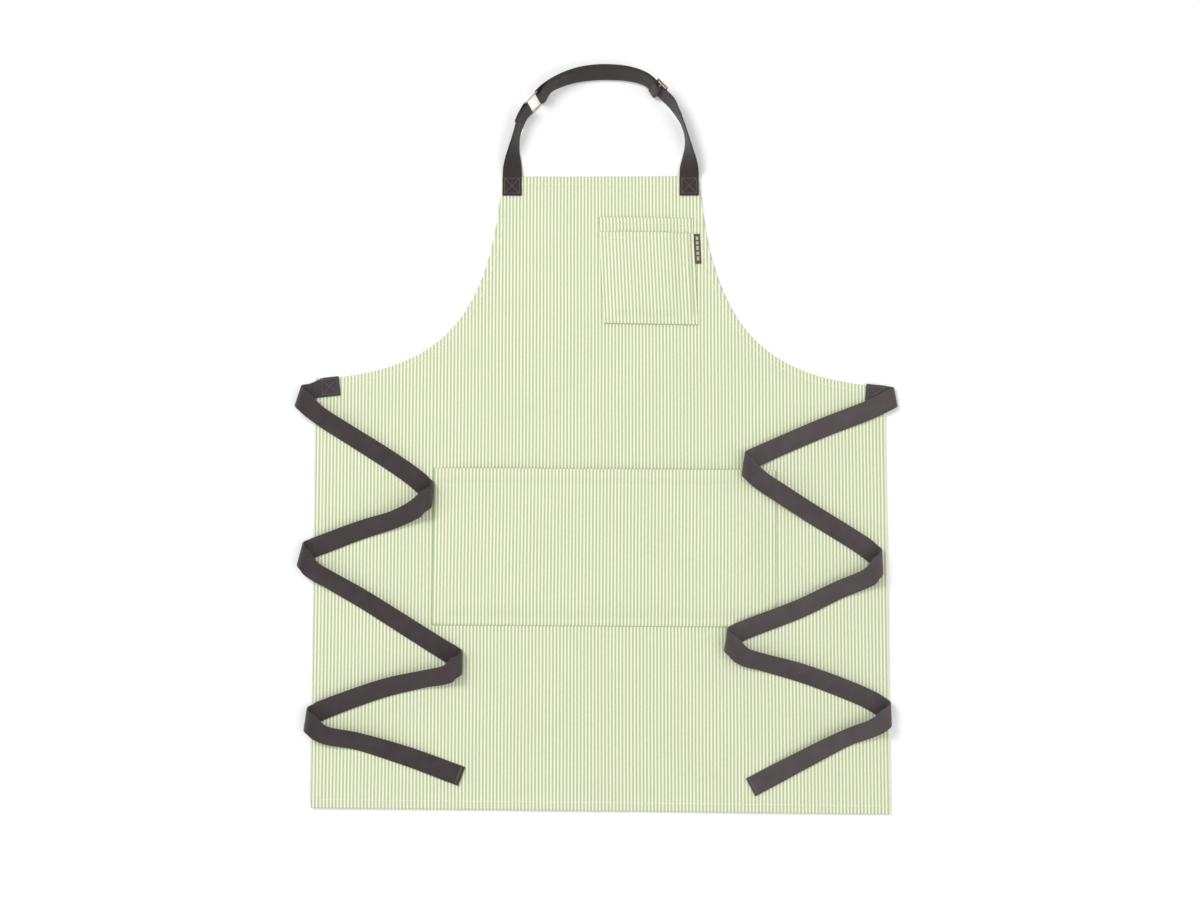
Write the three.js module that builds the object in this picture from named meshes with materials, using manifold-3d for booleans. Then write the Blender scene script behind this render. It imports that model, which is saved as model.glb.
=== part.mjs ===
// Bib apron with an adjustable neck loop, waist ties, a double chest pocket and a lap pocket.
// It lies flat on a table, front upwards. Millimetres, +Z up, +Y towards the bib.
// Everything is first placed in the apron's own axes (x = 0 on the centre line, y = 0 on the bottom
// edge, z = 0 on the table), and the finished group is then centred on the object's base.
import * as THREE from "three";
import * as BufferGeometryUtils from "three/addons/utils/BufferGeometryUtils.js";
import Module from "manifold-3d";

const wasm = await Module();
wasm.setup();

// ---- driving dimensions ----
const APRON_LENGTH = 830; // bottom edge to the bib's top edge
const SKIRT_WIDTH = 745;
const BIB_WIDTH = 260;
const WAIST_HEIGHT_LEFT = 561; // bottom edge to the upper corner of the skirt, as the cloth lies
const WAIST_HEIGHT_RIGHT = 551;
const LAY_SKEW = 8; // how much lower the bottom right corner lies than the left one
const CLOTH = 0.8; // thickness of the canvas
const HEM = 1.0; // thickness of the folded cloth under an edge
const HEM_WIDTH = 13;
const ARMHOLE_HEM_WIDTH = 10;

const WEB_WIDTH = 25.4;
const WEB_THICK = 1.5;
const SEWN_LENGTH = 26; // stretch of webbing sewn down on the cloth

const CHEST_WIDTH = 123;
const CHEST_REAR_HEIGHT = 141; // from the bottom to the rear layer's mouth
const CHEST_FRONT_HEIGHT = 121;
const CHEST_CENTRE_X = 66;
const CHEST_BOTTOM_Y = 633;
const CHEST_TURN = -1; // degrees, as the cloth lies
const CHEST_LEAN = 0.06; // how far the pocket's sides lean over, per millimetre of height
const PEN_SLOT_WIDTH = 15;
const PEN_SLOT_RISE = 9;
const LAP_WIDTH = 446;
const LAP_HEIGHT = 203;
const LAP_CENTRE_X = 4;
const LAP_BOTTOM_Y = 237;
const LAP_TURN = -0.4;
const POCKET_RISE = 5; // clear height inside a pocket
const SEAM_MARGIN = 4; // flat cloth between a pocket's edge and its bulge
const PEN_MARGIN = 2; // flat cloth each side of the pen slot's divider

const LABEL_WIDTH = 8;
const LABEL_LENGTH = 40;
const LABEL_THICK = 0.9;
const LABEL_DROP = 20; // below the rear layer's mouth
const LABEL_TURN = 2.6; // degrees

const WIRE = 2; // diameter of the ring's wire and of the slider's bars
const RING_LENGTH = 24;
const RING_CENTRE = new THREE.Vector3(-88, 927.5, 15.4);
const RING_DIRECTION = new THREE.Vector3(0.7, 0.72, 0).normalize();
const RING_LEAN = 71; // degrees from flat to on edge
const RING_SWING_PLAY = 1.8; // free space round the ring's far bar
const SLIDER_LENGTH = 18;
const SLIDER_CENTRE = new THREE.Vector3(77, 944, 16.9);
const SLIDER_DIRECTION = new THREE.Vector3(0.7, -0.715, 0).normalize();
const SLIDER_LEAN = 70;
const STRAP_TAIL = 26; // sewn tail of a strap loop
const BIB_WIDTH_AS_ROUTED = 260; // the bib width that the neck routes are drawn for
const WAIST_END_INSET_LEFT = 17; // skirt's side edge to the middle of the sewn waist end
const WAIST_END_INSET_RIGHT = 12;
const WAIST_END_TILT = 6; // degrees: the waist ends dip towards the outside

const GAP = 0.3; // between pieces that touch
const HINGE_GAP = 1; // each side of the line on which the neck loop folds
const FOLD_GAP = 0.9; // each side of the line on which a tie swings
const THREAD = 0.6; // diameter of the sewing thread
const STITCH_INSET = 3; // seam line to the edge of the webbing
const POCKET_HEM = 15;
const END_HEM = 10;

// ---- heights above the table ----
const PANEL_BOTTOM = HEM + GAP;
const PANEL_TOP = PANEL_BOTTOM + CLOTH;
const ON_PANEL = PANEL_TOP + GAP;
const WEB_MIDDLE = ON_PANEL + WEB_THICK / 2;
const REAR_TOP = ON_PANEL + CLOTH; // of the rear pocket layer's flat margin

// ---- materials ----
const material = (color, roughness, metalness = 0) =>
  new THREE.MeshStandardMaterial({ color, roughness, metalness });
const CANVAS = material(0xdfe9c4, 0.9);
const WEBBING = material(0x4a4143, 0.95);
const BRASS = material(0xa08150, 0.35, 1);
const THREAD_CREAM = material(0xf4f0d6, 0.8);
const THREAD_DARK = material(0x2e2829, 0.8);
const LABEL_CLOTH = material(0x5a5048, 0.85);

const apron = new THREE.Group();

function addPiece(name, geometry, finish, parent = apron) {
  const piece = new THREE.Mesh(geometry, finish);
  piece.name = name;
  parent.add(piece);
  return piece;
}

// ---- outline of the body panel ----
// Each armhole is one curve from the bib's top corner to the end of the waist's straight stretch.
const WAIST_FLAT = SEWN_LENGTH; // straight edge under the waist tie's sewn end
const armhole = (side) => {
  const waistHeight = side < 0 ? WAIST_HEIGHT_LEFT : WAIST_HEIGHT_RIGHT;
  const rise = APRON_LENGTH - waistHeight;
  const reach = SKIRT_WIDTH / 2 - WAIST_FLAT - BIB_WIDTH / 2;
  return new THREE.CubicBezierCurve3(
    new THREE.Vector3((side * BIB_WIDTH) / 2, APRON_LENGTH, 0),
    new THREE.Vector3(side * (BIB_WIDTH / 2 + reach * 0.06), APRON_LENGTH - rise * 0.68, 0),
    new THREE.Vector3(side * (BIB_WIDTH / 2 + reach * 0.34), waistHeight + rise * 0.06, 0),
    new THREE.Vector3(side * (SKIRT_WIDTH / 2 - WAIST_FLAT), waistHeight, 0),
  );
};

const hemY = (x) => (-LAY_SKEW * x) / SKIRT_WIDTH;

function panelOutline() {
  const half = SKIRT_WIDTH / 2;
  const outline = new THREE.Shape();
  outline.moveTo(-half, hemY(-half));
  outline.lineTo(half, hemY(half));
  outline.lineTo(half, WAIST_HEIGHT_RIGHT);
  armhole(1).getPoints(24).reverse().forEach((p) => outline.lineTo(p.x, p.y));
  armhole(-1).getPoints(24).forEach((p) => outline.lineTo(p.x, p.y));
  outline.lineTo(-half, WAIST_HEIGHT_LEFT);
  outline.closePath();
  return outline;
}

function extrudeFlat(shape, depth, z) {
  const geometry = new THREE.ExtrudeGeometry(shape, { depth, bevelEnabled: false });
  return geometry.translate(0, 0, z);
}

// A band that runs beside a curve, between two distances on its left-hand side.
function bandShape(points, near, far) {
  const normals = points.map((p, i) => {
    const before = points[Math.max(i - 1, 0)];
    const after = points[Math.min(i + 1, points.length - 1)];
    return new THREE.Vector2(-(after.y - before.y), after.x - before.x).normalize();
  });
  const along = (distance) =>
    points.map((p, i) => new THREE.Vector2(p.x, p.y).addScaledVector(normals[i], distance));
  return new THREE.Shape([...along(near), ...along(far).reverse()]);
}

const straight = (x0, y0, x1, y1) => [new THREE.Vector2(x0, y0), new THREE.Vector2(x1, y1)];

// ---- body panel and its folded edges ----
function addPanel() {
  addPiece("body_panel", extrudeFlat(panelOutline(), CLOTH, PANEL_BOTTOM), CANVAS);
  const half = SKIRT_WIDTH / 2;
  const addHem = (name, points, near, far) =>
    addPiece(name, extrudeFlat(bandShape(points, near, far), HEM, 0), CANVAS);
  addHem("bottom_hem", straight(-half, hemY(-half), half, hemY(half)), 0, HEM_WIDTH);
  addHem("side_hem_right", straight(half, HEM_WIDTH + LAY_SKEW, half, WAIST_HEIGHT_RIGHT), 0, HEM_WIDTH);
  addHem("side_hem_left", straight(-half, WAIST_HEIGHT_LEFT, -half, HEM_WIDTH + LAY_SKEW), 0, HEM_WIDTH);
  const topY = APRON_LENGTH;
  const bibHalf = BIB_WIDTH / 2 - ARMHOLE_HEM_WIDTH - 2;
  addHem("top_hem", straight(bibHalf, topY, -bibHalf, topY), 0, HEM_WIDTH);
  for (const [name, side] of [["armhole_facing_left", -1], ["armhole_facing_right", 1]]) {
    const run = armhole(side).getPoints(20);
    const points = side < 0 ? run : run.reverse();
    addHem(name, points, GAP, ARMHOLE_HEM_WIDTH);
  }
}

// ---- pockets ----
// A pocket layer is a sheet whose height over the panel comes from a function of its place.
const easeIn = (d, ramp) => THREE.MathUtils.smoothstep(d, 0, ramp);

// Numbers from `a` to `b` in `count` equal steps, without `a` itself.
const stepsTo = (a, b, count) => Array.from({ length: count }, (_, i) => a + ((b - a) * (i + 1)) / count);

// `columns` and `rows` are the places of the sheet's grid lines.
function clothLayer(columns, rows, bottomAt, lean) {
  const geometry = new THREE.BoxGeometry(1, 1, CLOTH, columns.length - 1, rows.length - 1, 1);
  const position = geometry.attributes.position;
  for (let i = 0; i < position.count; i += 1) {
    const x = columns[Math.round((position.getX(i) + 0.5) * (columns.length - 1))];
    const y = rows[Math.round((position.getY(i) + 0.5) * (rows.length - 1))];
    position.setXYZ(i, x - lean * y, y, position.getZ(i) + CLOTH / 2 + bottomAt(x, y));
  }
  return geometry;
}

const CHEST_RAMP = 16;
const LAP_RAMP = 22;
const PEN_LINE_X = CHEST_WIDTH / 2 - PEN_SLOT_WIDTH;
const ARCH_WIDTH = PEN_SLOT_WIDTH - PEN_MARGIN - SEAM_MARGIN;

const bulge = (x, y, width, ramp) => {
  const inside = Math.min(width / 2 - Math.abs(x), y) - SEAM_MARGIN;
  return POCKET_RISE * easeIn(inside, ramp);
};
// The rear layer bulges only beside the pen slot, where the two layers are sewn to each other.
const rearBottom = (x, y) => {
  const inside = Math.min(PEN_LINE_X - PEN_MARGIN - x, x + CHEST_WIDTH / 2 - SEAM_MARGIN, y - SEAM_MARGIN);
  return ON_PANEL + POCKET_RISE * easeIn(inside, CHEST_RAMP);
};
const frontBottom = (x, y) => {
  const rear = rearBottom(x, y) + CLOTH + GAP;
  const fromBottom = easeIn(y - SEAM_MARGIN, CHEST_RAMP);
  const past = (x - PEN_LINE_X - PEN_MARGIN) / ARCH_WIDTH;
  if (past > 0) return rear + PEN_SLOT_RISE * Math.sin(Math.PI * Math.min(past, 1)) * fromBottom;
  const inside = Math.min(PEN_LINE_X - PEN_MARGIN - x, x + CHEST_WIDTH / 2 - SEAM_MARGIN);
  return rear + POCKET_RISE * easeIn(inside, CHEST_RAMP) * fromBottom;
};
const lapBottom = (x, y) => ON_PANEL + bulge(x, y, LAP_WIDTH, LAP_RAMP);

// Grid lines across a pocket of half width `half`, closer together on its ramps.
function bulgeLines(low, high, ramp) {
  const lines = [low, low + SEAM_MARGIN];
  lines.push(...stepsTo(low + SEAM_MARGIN, low + SEAM_MARGIN + ramp, 6));
  lines.push(...stepsTo(low + SEAM_MARGIN + ramp, high - SEAM_MARGIN - ramp, 3));
  lines.push(...stepsTo(high - SEAM_MARGIN - ramp, high - SEAM_MARGIN, 6));
  return [...lines, high];
}

function heightLines(height, ramp) {
  const lines = [0, SEAM_MARGIN, ...stepsTo(SEAM_MARGIN, SEAM_MARGIN + ramp, 6)];
  return [...lines, ...stepsTo(SEAM_MARGIN + ramp, height, 3)];
}

const CHEST_HALF = CHEST_WIDTH / 2;
const penLeft = PEN_LINE_X - PEN_MARGIN;
const penRight = PEN_LINE_X + PEN_MARGIN;
const chestColumns = [
  -CHEST_HALF, -CHEST_HALF + SEAM_MARGIN,
  ...stepsTo(-CHEST_HALF + SEAM_MARGIN, -CHEST_HALF + SEAM_MARGIN + CHEST_RAMP, 6),
  ...stepsTo(-CHEST_HALF + SEAM_MARGIN + CHEST_RAMP, penLeft - CHEST_RAMP, 3),
  ...stepsTo(penLeft - CHEST_RAMP, penLeft, 6),
  penRight,
  ...stepsTo(penRight, CHEST_HALF - SEAM_MARGIN, 8),
  CHEST_HALF,
];
const lapColumns = bulgeLines(-LAP_WIDTH / 2, LAP_WIDTH / 2, LAP_RAMP);

function pocketGroup(centreX, bottomY, turn) {
  const group = new THREE.Group();
  group.position.set(centreX, bottomY, 0);
  group.rotation.z = THREE.MathUtils.degToRad(turn);
  apron.add(group);
  return group;
}

// A thread laid over a pocket layer along a chain of points on that layer.
function threadOver(points, bottomAt, lean) {
  const lift = CLOTH + GAP + THREAD / 2;
  return threadGeometry(points.map(([x, y]) => new THREE.Vector3(x - lean * y, y, bottomAt(x, y) + lift)));
}

function addPockets() {
  const chest = pocketGroup(CHEST_CENTRE_X, CHEST_BOTTOM_Y, CHEST_TURN);
  const rearRows = heightLines(CHEST_REAR_HEIGHT, CHEST_RAMP);
  const frontRows = heightLines(CHEST_FRONT_HEIGHT, CHEST_RAMP);
  addPiece("chest_pocket_rear", clothLayer(chestColumns, rearRows, rearBottom, CHEST_LEAN), CANVAS, chest);
  addPiece("chest_pocket_front", clothLayer(chestColumns, frontRows, frontBottom, CHEST_LEAN), CANVAS, chest);
  const lap = pocketGroup(LAP_CENTRE_X, LAP_BOTTOM_Y, LAP_TURN);
  const lapRows = heightLines(LAP_HEIGHT, LAP_RAMP);
  addPiece("lap_pocket", clothLayer(lapColumns, lapRows, lapBottom, 0), CANVAS, lap);

  const seam = (width, height) => {
    const x = width / 2 - SEAM_MARGIN / 2;
    const y = SEAM_MARGIN / 2;
    return [[-x, height], [-x, y], [x, y], [x, height]];
  };
  const across = (columns, y) => columns.slice(1, -1).map((x) => [x, y]);
  const addChest = (name, points, bottomAt) =>
    addPiece(name, threadOver(points, bottomAt, CHEST_LEAN), THREAD_CREAM, chest);
  const addLap = (name, points) => addPiece(name, threadOver(points, lapBottom, 0), THREAD_CREAM, lap);
  addChest("chest_pocket_seam_thread", seam(CHEST_WIDTH, CHEST_FRONT_HEIGHT - 2), frontBottom);
  addChest("chest_rear_hem_thread", across(chestColumns, CHEST_REAR_HEIGHT - POCKET_HEM / 2), rearBottom);
  const penLine = [[PEN_LINE_X, SEAM_MARGIN * 2], [PEN_LINE_X, CHEST_FRONT_HEIGHT - 2]];
  addChest("pen_slot_thread", penLine, frontBottom);
  const frontColumns = chestColumns.filter((x) => x <= penLeft);
  const frontHem = across([...frontColumns, penLeft], CHEST_FRONT_HEIGHT - POCKET_HEM / 2);
  addChest("chest_front_hem_thread", frontHem, frontBottom);
  addLap("lap_pocket_seam_thread", seam(LAP_WIDTH, LAP_HEIGHT - 2));
  addLap("lap_pocket_hem_thread", across(lapColumns, LAP_HEIGHT - POCKET_HEM));
}

// ---- webbing ----
// A path of stations, each with its middle point and the unit vector across the webbing's width.
class WebbingPath extends THREE.Curve {
  constructor(stations) {
    super();
    this.stations = stations;
  }

  getPoint(u) {
    const last = this.stations.length - 1;
    return this.stations[Math.round(u * last)].point.clone();
  }

  getSpacedPoints() {
    return this.stations.map((station) => station.point.clone());
  }

  computeFrenetFrames() {
    const tangents = stationTangents(this.stations);
    const normals = this.stations.map((station) => station.across.clone());
    const binormals = tangents.map((t, i) => t.clone().cross(normals[i]).normalize());
    return { tangents, normals, binormals };
  }
}

function stationTangents(stations) {
  return stations.map((_, i) => {
    const before = stations[Math.max(i - 1, 0)].point;
    const after = stations[Math.min(i + 1, stations.length - 1)].point;
    return after.clone().sub(before).normalize();
  });
}

// Flat strap section with its four corners taken off, so it has eight sides.
function strapSection(width, thickness) {
  const corner = thickness * 0.25;
  const x = width / 2;
  const y = thickness / 2;
  return new THREE.Shape([
    new THREE.Vector2(x - corner, -y), new THREE.Vector2(x, -y + corner),
    new THREE.Vector2(x, y - corner), new THREE.Vector2(x - corner, y),
    new THREE.Vector2(-x + corner, y), new THREE.Vector2(-x, y - corner),
    new THREE.Vector2(-x, -y + corner), new THREE.Vector2(-x + corner, -y),
  ]);
}

function webbingGeometry(stations) {
  const extrudePath = new WebbingPath(stations);
  const steps = stations.length - 1;
  return new THREE.ExtrudeGeometry(strapSection(WEB_WIDTH, WEB_THICK), { extrudePath, steps });
}

function threadGeometry(points) {
  const stations = points.map((point) => ({ point }));
  const tangents = stationTangents(stations);
  stations.forEach((station, i) => {
    station.across = new THREE.Vector3(-tangents[i].y, tangents[i].x, 0).normalize();
  });
  const r = THREAD / 2;
  const section = new THREE.Shape([
    new THREE.Vector2(r, -r), new THREE.Vector2(r, r), new THREE.Vector2(-r, r), new THREE.Vector2(-r, -r),
  ]);
  const extrudePath = new WebbingPath(stations);
  return new THREE.ExtrudeGeometry(section, { extrudePath, steps: points.length - 1 });
}

// Makes `across` square to the path again after the stations are set.
function squareAcross(stations) {
  const tangents = stationTangents(stations);
  stations.forEach((station, i) => {
    station.across.addScaledVector(tangents[i], -station.across.dot(tangents[i])).normalize();
  });
  return stations;
}

// ---- sewn ends and their box-and-cross stitching ----
// A flat frame of thread with a cross in it, `width` by `height` between the thread's middles.
function boxCrossGeometry(width, height) {
  const r = THREAD / 2;
  const x = width / 2 + r;
  const y = height / 2 + r;
  const corners = [[-x, -y], [x, -y], [x, y], [-x, y]].map(([cx, cy]) => new THREE.Vector2(cx, cy));
  const outline = new THREE.Shape(corners);
  for (const turned of [false, true]) {
    const [reach, rise] = turned ? [height / 2 - r, width / 2 - r] : [width / 2 - r, height / 2 - r];
    const slope = rise / reach;
    const apex = r * Math.hypot(1, slope);
    const half = (rise - apex) / slope;
    for (const hand of [-1, 1]) {
      const hole = [[0, apex], [half, rise], [-half, rise]].map(([along, out]) =>
        turned ? new THREE.Vector2(out * hand, along) : new THREE.Vector2(along, out * hand));
      outline.holes.push(new THREE.Path(hole));
    }
  }
  return extrudeFlat(outline, THREAD, 0);
}

function toSolid(geometry) {
  const bare = geometry.clone();
  bare.deleteAttribute("normal");
  bare.deleteAttribute("uv");
  const merged = BufferGeometryUtils.mergeVertices(bare, 1e-4);
  return new wasm.Manifold(new wasm.Mesh({
    numProp: 3,
    vertProperties: Float32Array.from(merged.attributes.position.array),
    triVerts: Uint32Array.from(merged.index.array),
  }));
}

function toGeometry(solid) {
  const mesh = solid.getMesh();
  const geometry = new THREE.BufferGeometry();
  geometry.setAttribute("position", new THREE.BufferAttribute(mesh.vertProperties, 3));
  geometry.setIndex(new THREE.BufferAttribute(mesh.triVerts, 1));
  return geometry;
}

const unite = (geometries) => toGeometry(geometries.map(toSolid).reduce((all, next) => all.add(next)));

// A sewn end lies flat on the panel, with its length along `angle`.
function addSewnEnd(name, x, y, angle) {
  const group = new THREE.Group();
  group.position.set(x, y, 0);
  group.rotation.z = angle;
  apron.add(group);
  const half = SEWN_LENGTH / 2;
  const stations = [-half, half].map((along) => ({
    point: new THREE.Vector3(along, 0, WEB_MIDDLE),
    across: new THREE.Vector3(0, 1, 0),
  }));
  addPiece(name, webbingGeometry(stations), WEBBING, group);
  const threads = boxCrossGeometry(SEWN_LENGTH - 2 * STITCH_INSET, WEB_WIDTH - 2 * STITCH_INSET);
  threads.translate(0, 0, WEB_MIDDLE + WEB_THICK / 2 + GAP);
  addPiece(`${name}_stitching`, threads, THREAD_DARK, group);
}

const NECK_END_X = BIB_WIDTH / 2 - WEB_WIDTH / 2;
const NECK_FOLD_Y = APRON_LENGTH + 1.5; // the line on which the neck loop folds
const NECK_END_Y = NECK_FOLD_Y - HINGE_GAP - SEWN_LENGTH / 2;
// The corner that the waist routes start from: the skirt's side edge, half a webbing width down.
const waistCorner = (side) => new THREE.Vector3(
  (side * SKIRT_WIDTH) / 2,
  (side < 0 ? WAIST_HEIGHT_LEFT : WAIST_HEIGHT_RIGHT) - WEB_WIDTH / 2,
  0,
);
const waistEndInset = (side) => (side < 0 ? WAIST_END_INSET_LEFT : WAIST_END_INSET_RIGHT);

function addSewnEnds() {
  addSewnEnd("neck_end_left", -NECK_END_X, NECK_END_Y, Math.PI / 2);
  addSewnEnd("neck_end_right", NECK_END_X, NECK_END_Y, Math.PI / 2);
  const tilt = THREE.MathUtils.degToRad(WAIST_END_TILT);
  for (const [name, side] of [["waist_end_left", -1], ["waist_end_right", 1]]) {
    const corner = waistCorner(side);
    addSewnEnd(name, corner.x - side * waistEndInset(side), corner.y + 1, -side * tilt);
  }
}

// ---- neck loop ----
// Routes run from the bib. Each row is x, y, z of the strap's middle and its lean in degrees,
// from 0, flat with its outer edge outwards, to 90, on edge with that edge upwards.
const NECK_START_Y = NECK_FOLD_Y + HINGE_GAP;
const SHORT_ROUTE = [
  [-117, NECK_START_Y, 3.5, 4], [-117, 839, 5.2, 12], [-116.4, 849.5, 8.6, 34], [-115.2, 862.5, 11.4, 56],
  [-113, 875, 13.2, 68], [-110.2, 888, 14.2, 74], [-106.8, 899, 15, 72], [-102.5, 908.5, 15.4, 71],
];
const LONG_ROUTE = [
  [117.3, NECK_START_Y, 3.5, 4], [117.3, 839, 5.4, 14], [117.2, 849, 9.3, 40], [116.5, 862, 12, 58],
  [115, 875, 14, 74], [112.2, 888, 15, 80], [107.5, 901.5, 16, 78], [101, 914.5, 16.7, 74],
  [92.8, 927.9, 16.9, 70], [84.8, 936, 16.9, 70], [77, 944, 16.9, 70], [66.5, 954.7, 16.9, 70],
  [58.5, 960.2, 16.3, 68], [47, 964.8, 15.2, 64], [32.5, 968.2, 13.6, 60], [12.5, 970, 12.6, 57],
  [-7.5, 969.6, 12.5, 57], [-27.5, 966.8, 13, 60], [-43.5, 962.2, 14, 65], [-57, 956.4, 15, 69],
  [-68, 950.2, 15.4, 71],
];
const SPREAD = BIB_WIDTH / BIB_WIDTH_AS_ROUTED;
const RAISE = APRON_LENGTH - 830;

const up = new THREE.Vector3(0, 0, 1);
const placeOnNeck = (x, y, z) => new THREE.Vector3(x * SPREAD, y === NECK_START_Y ? y : y + RAISE, z);
const ringCentre = placeOnNeck(RING_CENTRE.x, RING_CENTRE.y, RING_CENTRE.z);
const sliderCentre = placeOnNeck(SLIDER_CENTRE.x, SLIDER_CENTRE.y, SLIDER_CENTRE.z);

// The vector across a strap that leans: `outward` is level and square to the strap.
function leaning(outward, degrees) {
  const lean = THREE.MathUtils.degToRad(degrees);
  return outward.clone().multiplyScalar(Math.cos(lean)).addScaledVector(up, Math.sin(lean));
}

// Samples a route as a smooth curve. `side` is 1 where the outside is on the right of the travel.
function routeStations(route, side, ending) {
  const rows = route.map(([x, y, z, lean]) => ({ point: placeOnNeck(x, y, z), lean }));
  rows.push(...ending);
  const middle = new THREE.CatmullRomCurve3(rows.map((row) => row.point), false, "centripetal");
  const count = (rows.length - 1) * 3;
  const stations = [];
  for (let i = 0; i <= count; i += 1) {
    const row = Math.min(Math.floor(i / 3), rows.length - 2);
    const lean = THREE.MathUtils.lerp(rows[row].lean, rows[row + 1].lean, i / 3 - row);
    const tangent = middle.getTangent(i / count);
    const outward = new THREE.Vector3(side * tangent.y, -side * tangent.x, 0).normalize();
    stations.push({ point: middle.getPoint(i / count), across: leaning(outward, lean) });
  }
  return stations;
}

// Stations of a half turn of webbing round a bar, starting on `start` side and passing `far`.
function halfTurn(bar, start, far, radius, across, steps) {
  return Array.from({ length: steps + 1 }, (_, i) => {
    const angle = (Math.PI * i) / steps;
    const point = bar.clone()
      .addScaledVector(start, radius * Math.cos(angle))
      .addScaledVector(far, radius * Math.sin(angle));
    return { point, across: across.clone() };
  });
}

// The layer that lies back along a strap, at a distance that shrinks from `wide` to `close`.
function returningLayer(stations, direction, wide, close, ramp) {
  const tangents = stationTangents(stations);
  let run = 0;
  return stations.map((station, i) => {
    if (i > 0) run += station.point.distanceTo(stations[i - 1].point);
    const inward = tangents[i].clone().cross(station.across).multiplyScalar(direction);
    const distance = THREE.MathUtils.lerp(wide, close, easeIn(run, ramp));
    return { point: station.point.clone().addScaledVector(inward, distance), across: station.across.clone() };
  });
}

const LAYER_STEP = WEB_THICK + GAP + 0.15; // between the middles of two straps that lie together
const ringOutward = new THREE.Vector3(-RING_DIRECTION.y, RING_DIRECTION.x, 0);
const ringAcross = leaning(ringOutward, RING_LEAN);
const ringFace = RING_DIRECTION.clone().cross(ringAcross).normalize(); // level side towards the loop's inside
const barAt = (end) => ringCentre.clone().addScaledVector(RING_DIRECTION, end * (RING_LENGTH - WIRE) / 2);
const SHORT_LOOP_RADIUS = WIRE / 2 + GAP + 0.2 + WEB_THICK / 2;
const LONG_LOOP_RADIUS = WIRE / 2 + RING_SWING_PLAY + WEB_THICK / 2;

// The last rows of a strap that runs up to a bar of the ring on the side `face`.
function ringEnding(bar, face, travel) {
  const end = bar.clone().add(face);
  return [8, 4, 0].map((d) => ({ point: end.clone().addScaledVector(travel, -d), lean: RING_LEAN }));
}

// The stations of a strap that lie within `length` of its end, from the end backwards.
function lastStretch(stations, isPast) {
  const stretch = [];
  let run = 0;
  for (let i = stations.length - 1; i > 0; i -= 1) {
    if (isPast(stations[i].point, run)) break;
    stretch.push(stations[i]);
    run += stations[i].point.distanceTo(stations[i - 1].point);
  }
  return stretch;
}

function shortStrapStations() {
  const bar = barAt(-1);
  const face = ringFace.clone().multiplyScalar(SHORT_LOOP_RADIUS);
  const main = routeStations(SHORT_ROUTE, -1, ringEnding(bar, face, RING_DIRECTION));
  const turn = halfTurn(bar, ringFace, RING_DIRECTION, SHORT_LOOP_RADIUS, ringAcross, 8);
  const doubled = lastStretch(main, (point, run) => run > STRAP_TAIL);
  const tail = returningLayer(doubled, 1, 2 * SHORT_LOOP_RADIUS, LAYER_STEP, STRAP_TAIL / 2);
  return squareAcross([...main, ...turn.slice(1), ...tail.slice(1)]);
}

const sliderOutward = new THREE.Vector3(-SLIDER_DIRECTION.y, SLIDER_DIRECTION.x, 0);
const sliderAcross = leaning(sliderOutward, SLIDER_LEAN);

function longStrapStations() {
  const bar = barAt(1);
  const back = RING_DIRECTION.clone().negate();
  const face = ringFace.clone().multiplyScalar(-LONG_LOOP_RADIUS);
  const main = routeStations(LONG_ROUTE, 1, ringEnding(bar, face, back));
  const turn = halfTurn(bar, ringFace.clone().negate(), back, LONG_LOOP_RADIUS, ringAcross, 8);
  const stop = sliderCentre.clone().addScaledVector(SLIDER_DIRECTION, -SLIDER_LENGTH / 2 - 4);
  const past = (point) => point.x > 0 && point.clone().sub(stop).dot(SLIDER_DIRECTION) > 0;
  const doubled = lastStretch(main, past);
  const tail = returningLayer(doubled, 1, 2 * LONG_LOOP_RADIUS, LAYER_STEP, 20);
  return squareAcross([...main, ...turn.slice(1), ...tail.slice(1)]);
}

// Bar tack: a flat bar of thread across the strap at a station, on the chosen face.
function barTack(stations, index, face) {
  const tangent = stationTangents(stations)[index];
  const { point, across } = stations[index];
  const normal = tangent.clone().cross(across).normalize().multiplyScalar(face);
  const tack = new THREE.BoxGeometry(2, WEB_WIDTH - 2 * STITCH_INSET, THREAD);
  const along = across.clone().cross(normal).normalize();
  tack.applyMatrix4(new THREE.Matrix4().makeBasis(along, across, normal));
  const lift = WEB_THICK / 2 + GAP + THREAD / 2;
  return tack.translate(...point.clone().addScaledVector(normal, lift).toArray());
}

function ringGeometry() {
  const halfLength = (RING_LENGTH - WIRE) / 2;
  const halfWidth = WEB_WIDTH / 2 + GAP + 0.7 + WIRE / 2;
  const bar = (length, axis) => {
    const wire = new THREE.CylinderGeometry(WIRE / 2, WIRE / 2, length, 12);
    return axis === "x" ? wire.rotateZ(Math.PI / 2) : wire;
  };
  const corner = () => new THREE.SphereGeometry(WIRE / 2, 12, 8);
  const pieces = [];
  for (const end of [-1, 1]) {
    pieces.push(bar(2 * halfWidth, "y").translate(end * halfLength, 0, 0));
    pieces.push(bar(2 * halfLength, "x").translate(0, end * halfWidth, 0));
    for (const edge of [-1, 1]) pieces.push(corner().translate(end * halfLength, edge * halfWidth, 0));
  }
  const basis = new THREE.Matrix4().makeBasis(RING_DIRECTION, ringAcross, ringFace);
  return unite(pieces).applyMatrix4(basis).translate(...ringCentre.toArray());
}

// The slider's plate is in front of the strap and its centre bar is set back behind it.
const END_LOOP_RADIUS = WIRE / 2 + GAP + 0.2 + WEB_THICK / 2;
const CENTRE_BAR_SETBACK = LAYER_STEP + END_LOOP_RADIUS;
const PLATE_OFFSET = WEB_THICK / 2 + GAP + WIRE / 2;

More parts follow.
